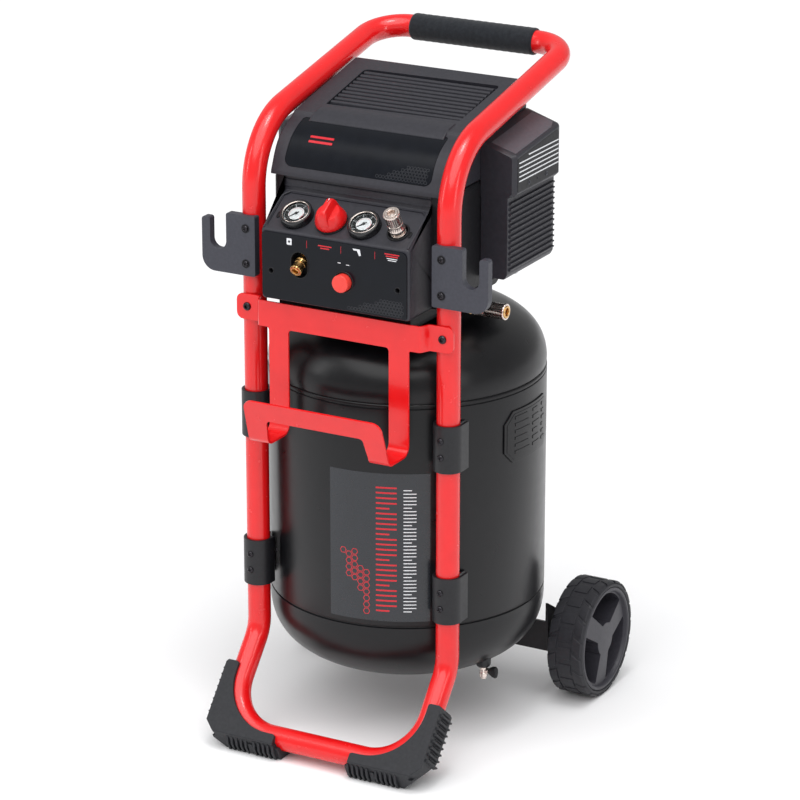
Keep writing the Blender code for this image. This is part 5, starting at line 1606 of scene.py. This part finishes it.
def couplers():
    top = DECK @ shift(0.082)
    coupler("top_coupler", top, -0.0210, 0.0370, 0.0115, NICKEL, NICKEL, 0.0055)
    port = shift(PORT_X, FASCIA_Y, PORT_Z) @ Matrix.Rotation(PORT_TILT, 4, "X")
    coupler("front_coupler", port, -0.0260, 0.0150, 0.0085, BRASS, BRASS, 0.0046, 16)
    lip = lathe([(0.0050, 0.0126), (0.0078, 0.0126), (0.0080, 0.0132), (0.0078, 0.0138), (0.0050, 0.0138)],
                56, closed=True)
    put("front_coupler_lip", moved(lip, port), RED_PLASTIC, "front_coupler_sleeve",
        weighted=False)
    side = shift(*SIDE_COUPLER) @ FACING_RIGHT
    coupler("side_coupler", side, -0.0180, 0.0700, 0.0115, BRASS, NICKEL, 0.0055)
    well = lathe([(0.0130, -0.0095), (0.0158, -0.0095), (0.0158, 0.0004), (0.0152, 0.0010), (0.0140, 0.0010),
                  (0.0130, 0.0000)],
                 56, closed=True)
    put("top_coupler_well", moved(well, top), DARK, weighted=False, angle=35)


def button():
    spot = shift(BUTTON_X, FASCIA_Y + 0.0080, BUTTON_Z) @ FACING_FRONT
    r = BUTTON_R
    cap = lathe([(0, 0.0008), (r - 0.0004, 0.0008), (r, 0.0012), (r, 0.0196), (r - 0.0003, 0.0205),
                 (r - 0.0012, 0.0211),
                 (r - 0.0030, 0.0212), (r * 0.5, 0.0209), (0, 0.0208)], 64)
    put("power_button_cap", moved(cap, spot), BUTTON_RED, "power_button", ["power_button"],
        weighted=False, angle=50)


def gland():
    x, y, z = middle("cable_gland").x, BACK_Y, middle("cable_gland").z
    nut = lathe([(0, -0.005), (0.0110, -0.005), (0.0110, 0.0020), (0.0102, 0.0026), (0.0102, 0.0030),
                 (0.0108, 0.0036), (0.0108, 0.0072),
                 (0.0096, 0.0084), (0.0086, 0.0120), (0.0070, 0.0142), (0.0048, 0.0149), (0.0045, 0.0140),
                 (0.0045, 0.0040), (0, 0.0040)],
                72, bumps=18, bump_depth=0.0007, bumpy=(5, 6))
    put("gland_nut", moved(nut, shift(x, y, z) @ FACING_BACK), DARK,
        stands_for=["cable_gland"],
        weighted=False, angle=35)


def safety_valve():
    low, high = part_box("safety_valve")
    x, y = (low.x + high.x) / 2, (low.y + high.y) / 2 - PLANE_Y
    z = low.z
    body = lathe([(0, z - 0.004), (0.0085, z - 0.004), (0.0085, z + 0.0080), (0.0078, z + 0.0088),
                  (0.0065, z + 0.0092), (0.0065, z + 0.0280),
                  (0.0060, z + 0.0296), (0.0046, z + 0.0304), (0.0022, z + 0.0308), (0.0022, high.z),
                  (0, high.z)], 40)
    six = prism(hexagon((0, 0), 0.0088), z + 0.0010, z + 0.0072, "Z")
    put("safety_valve_body", moved(join([body, six]), shift(x, y)), BRASS,
        stands_for=["safety_valve"], bevel=0.0003,
        angle=35)


# ---------------------------------------------------------------- carried-over CAD nodes
def carried_over():
    for part, mat in (("tank_bracket_lower_left", STEEL_BLACK), ("tank_bracket_lower_right", STEEL_BLACK),
                      ("tank_bracket_upper_left", STEEL_BLACK), ("tank_bracket_upper_right", STEEL_BLACK),
                      ("axle_bracket_left", STEEL_BLACK), ("axle_bracket_right", STEEL_BLACK), ("axle", ZINC),
                      ("manifold", CASTING), ("pressure_switch", DARK), ("pump_tray", STEEL_BLACK),
                      ("motor_stator", CASTING), ("motor_rotor", ZINC), ("cylinder_left", CASTING),
                      ("cylinder_right", CASTING), ("piston_left", CASTING), ("piston_right", CASTING),
                      ("safety_valve_ring", ZINC)):
        mesh = frame["nodes"][part].data
        mesh.materials.clear()
        mesh.materials.append(mat)


# ---------------------------------------------------------------- floor, light and camera
def plain(name, colour, rough):
    return finish(name, colour, colour, 3, (rough, rough + 0.03), 4, 60, 0.000005)


def studio():
    floor = bmesh.new()
    corners = [floor.verts.new((x, y, 0.0)) for x, y in ((-30, -30), (30, -30), (30, 30), (-30, 30))]
    floor.faces.new(corners)
    mesh = bpy.data.meshes.new("studio_floor")
    floor.to_mesh(mesh)
    floor.free()
    mesh.materials.append(plain("studio_paper", srgb(246, 246, 247), 0.9))
    obj = bpy.data.objects.new("studio_floor", mesh)
    bpy.context.scene.collection.objects.link(obj)

    world = bpy.data.worlds.new("studio")
    world.use_nodes = True
    sky = world.node_tree.nodes["Background"]
    sky.inputs["Color"].default_value = (1.0, 1.0, 1.0, 1.0)
    sky.inputs["Strength"].default_value = 0.5
    bpy.context.scene.world = world

    def lamp(name, spot, target, size, power, tall=None):
        light = bpy.data.lights.new(name, "AREA")
        light.energy = power
        light.shape = "RECTANGLE"
        light.size = size
        light.size_y = tall or size
        lamp_obj = bpy.data.objects.new(name, light)
        lamp_obj.location = spot
        lamp_obj.rotation_euler = (Vector(target) - Vector(spot)).to_track_quat("-Z", "Y").to_euler()
        bpy.context.scene.collection.objects.link(lamp_obj)

    lamp("overhead", (0.35, -0.5, 3.0), (0, 0, 0.5), 0.6, 11)
    lamp("left_front", (-1.9, -1.7, 1.5), (0, 0, 0.5), 0.35, 7, 1.4)
    lamp("right_front", (2.4, -0.9, 1.3), (0, 0, 0.5), 0.35, 6, 1.4)
    sun = bpy.data.lights.new("soft_sky", "SUN")
    sun.energy = 2.3
    sun.angle = math.radians(70)
    sun_obj = bpy.data.objects.new("soft_sky", sun)
    sun_obj.rotation_euler = (math.radians(28), math.radians(8), 0)
    bpy.context.scene.collection.objects.link(sun_obj)

    camera = bpy.data.cameras.new("camera")
    camera.lens = 165.15
    camera.sensor_width = 36.0
    camera.clip_end = 60
    cam = bpy.data.objects.new("camera", camera)
    azimuth, elevation, distance = math.radians(28.88), math.radians(19.18), 4.883
    back = Vector((math.sin(azimuth) * math.cos(elevation), -math.cos(azimuth) * math.cos(elevation),
                   math.sin(elevation)))
    cam.location = Vector((0.0748, PLANE_Y, 0.5106)) + back * distance
    cam.rotation_euler = (-back).to_track_quat("-Z", "Y").to_euler()
    bpy.context.scene.collection.objects.link(cam)
    bpy.context.scene.camera = cam
    bpy.context.scene.view_settings.view_transform = "Standard"


studio()
tube_frame()
handle_grip()
foot_pads()
collars()
hose_bracket()
hooks()
tank()
decal()
rating_plate()
drain()
wheels()
housing_front()
housing_body()
housing_cover()
front_inlay()
control_panel()
side_covers()
gauges()
regulator()
couplers()
button()
gland()
safety_valve()
carried_over()

bpy.context.view_layer.update()
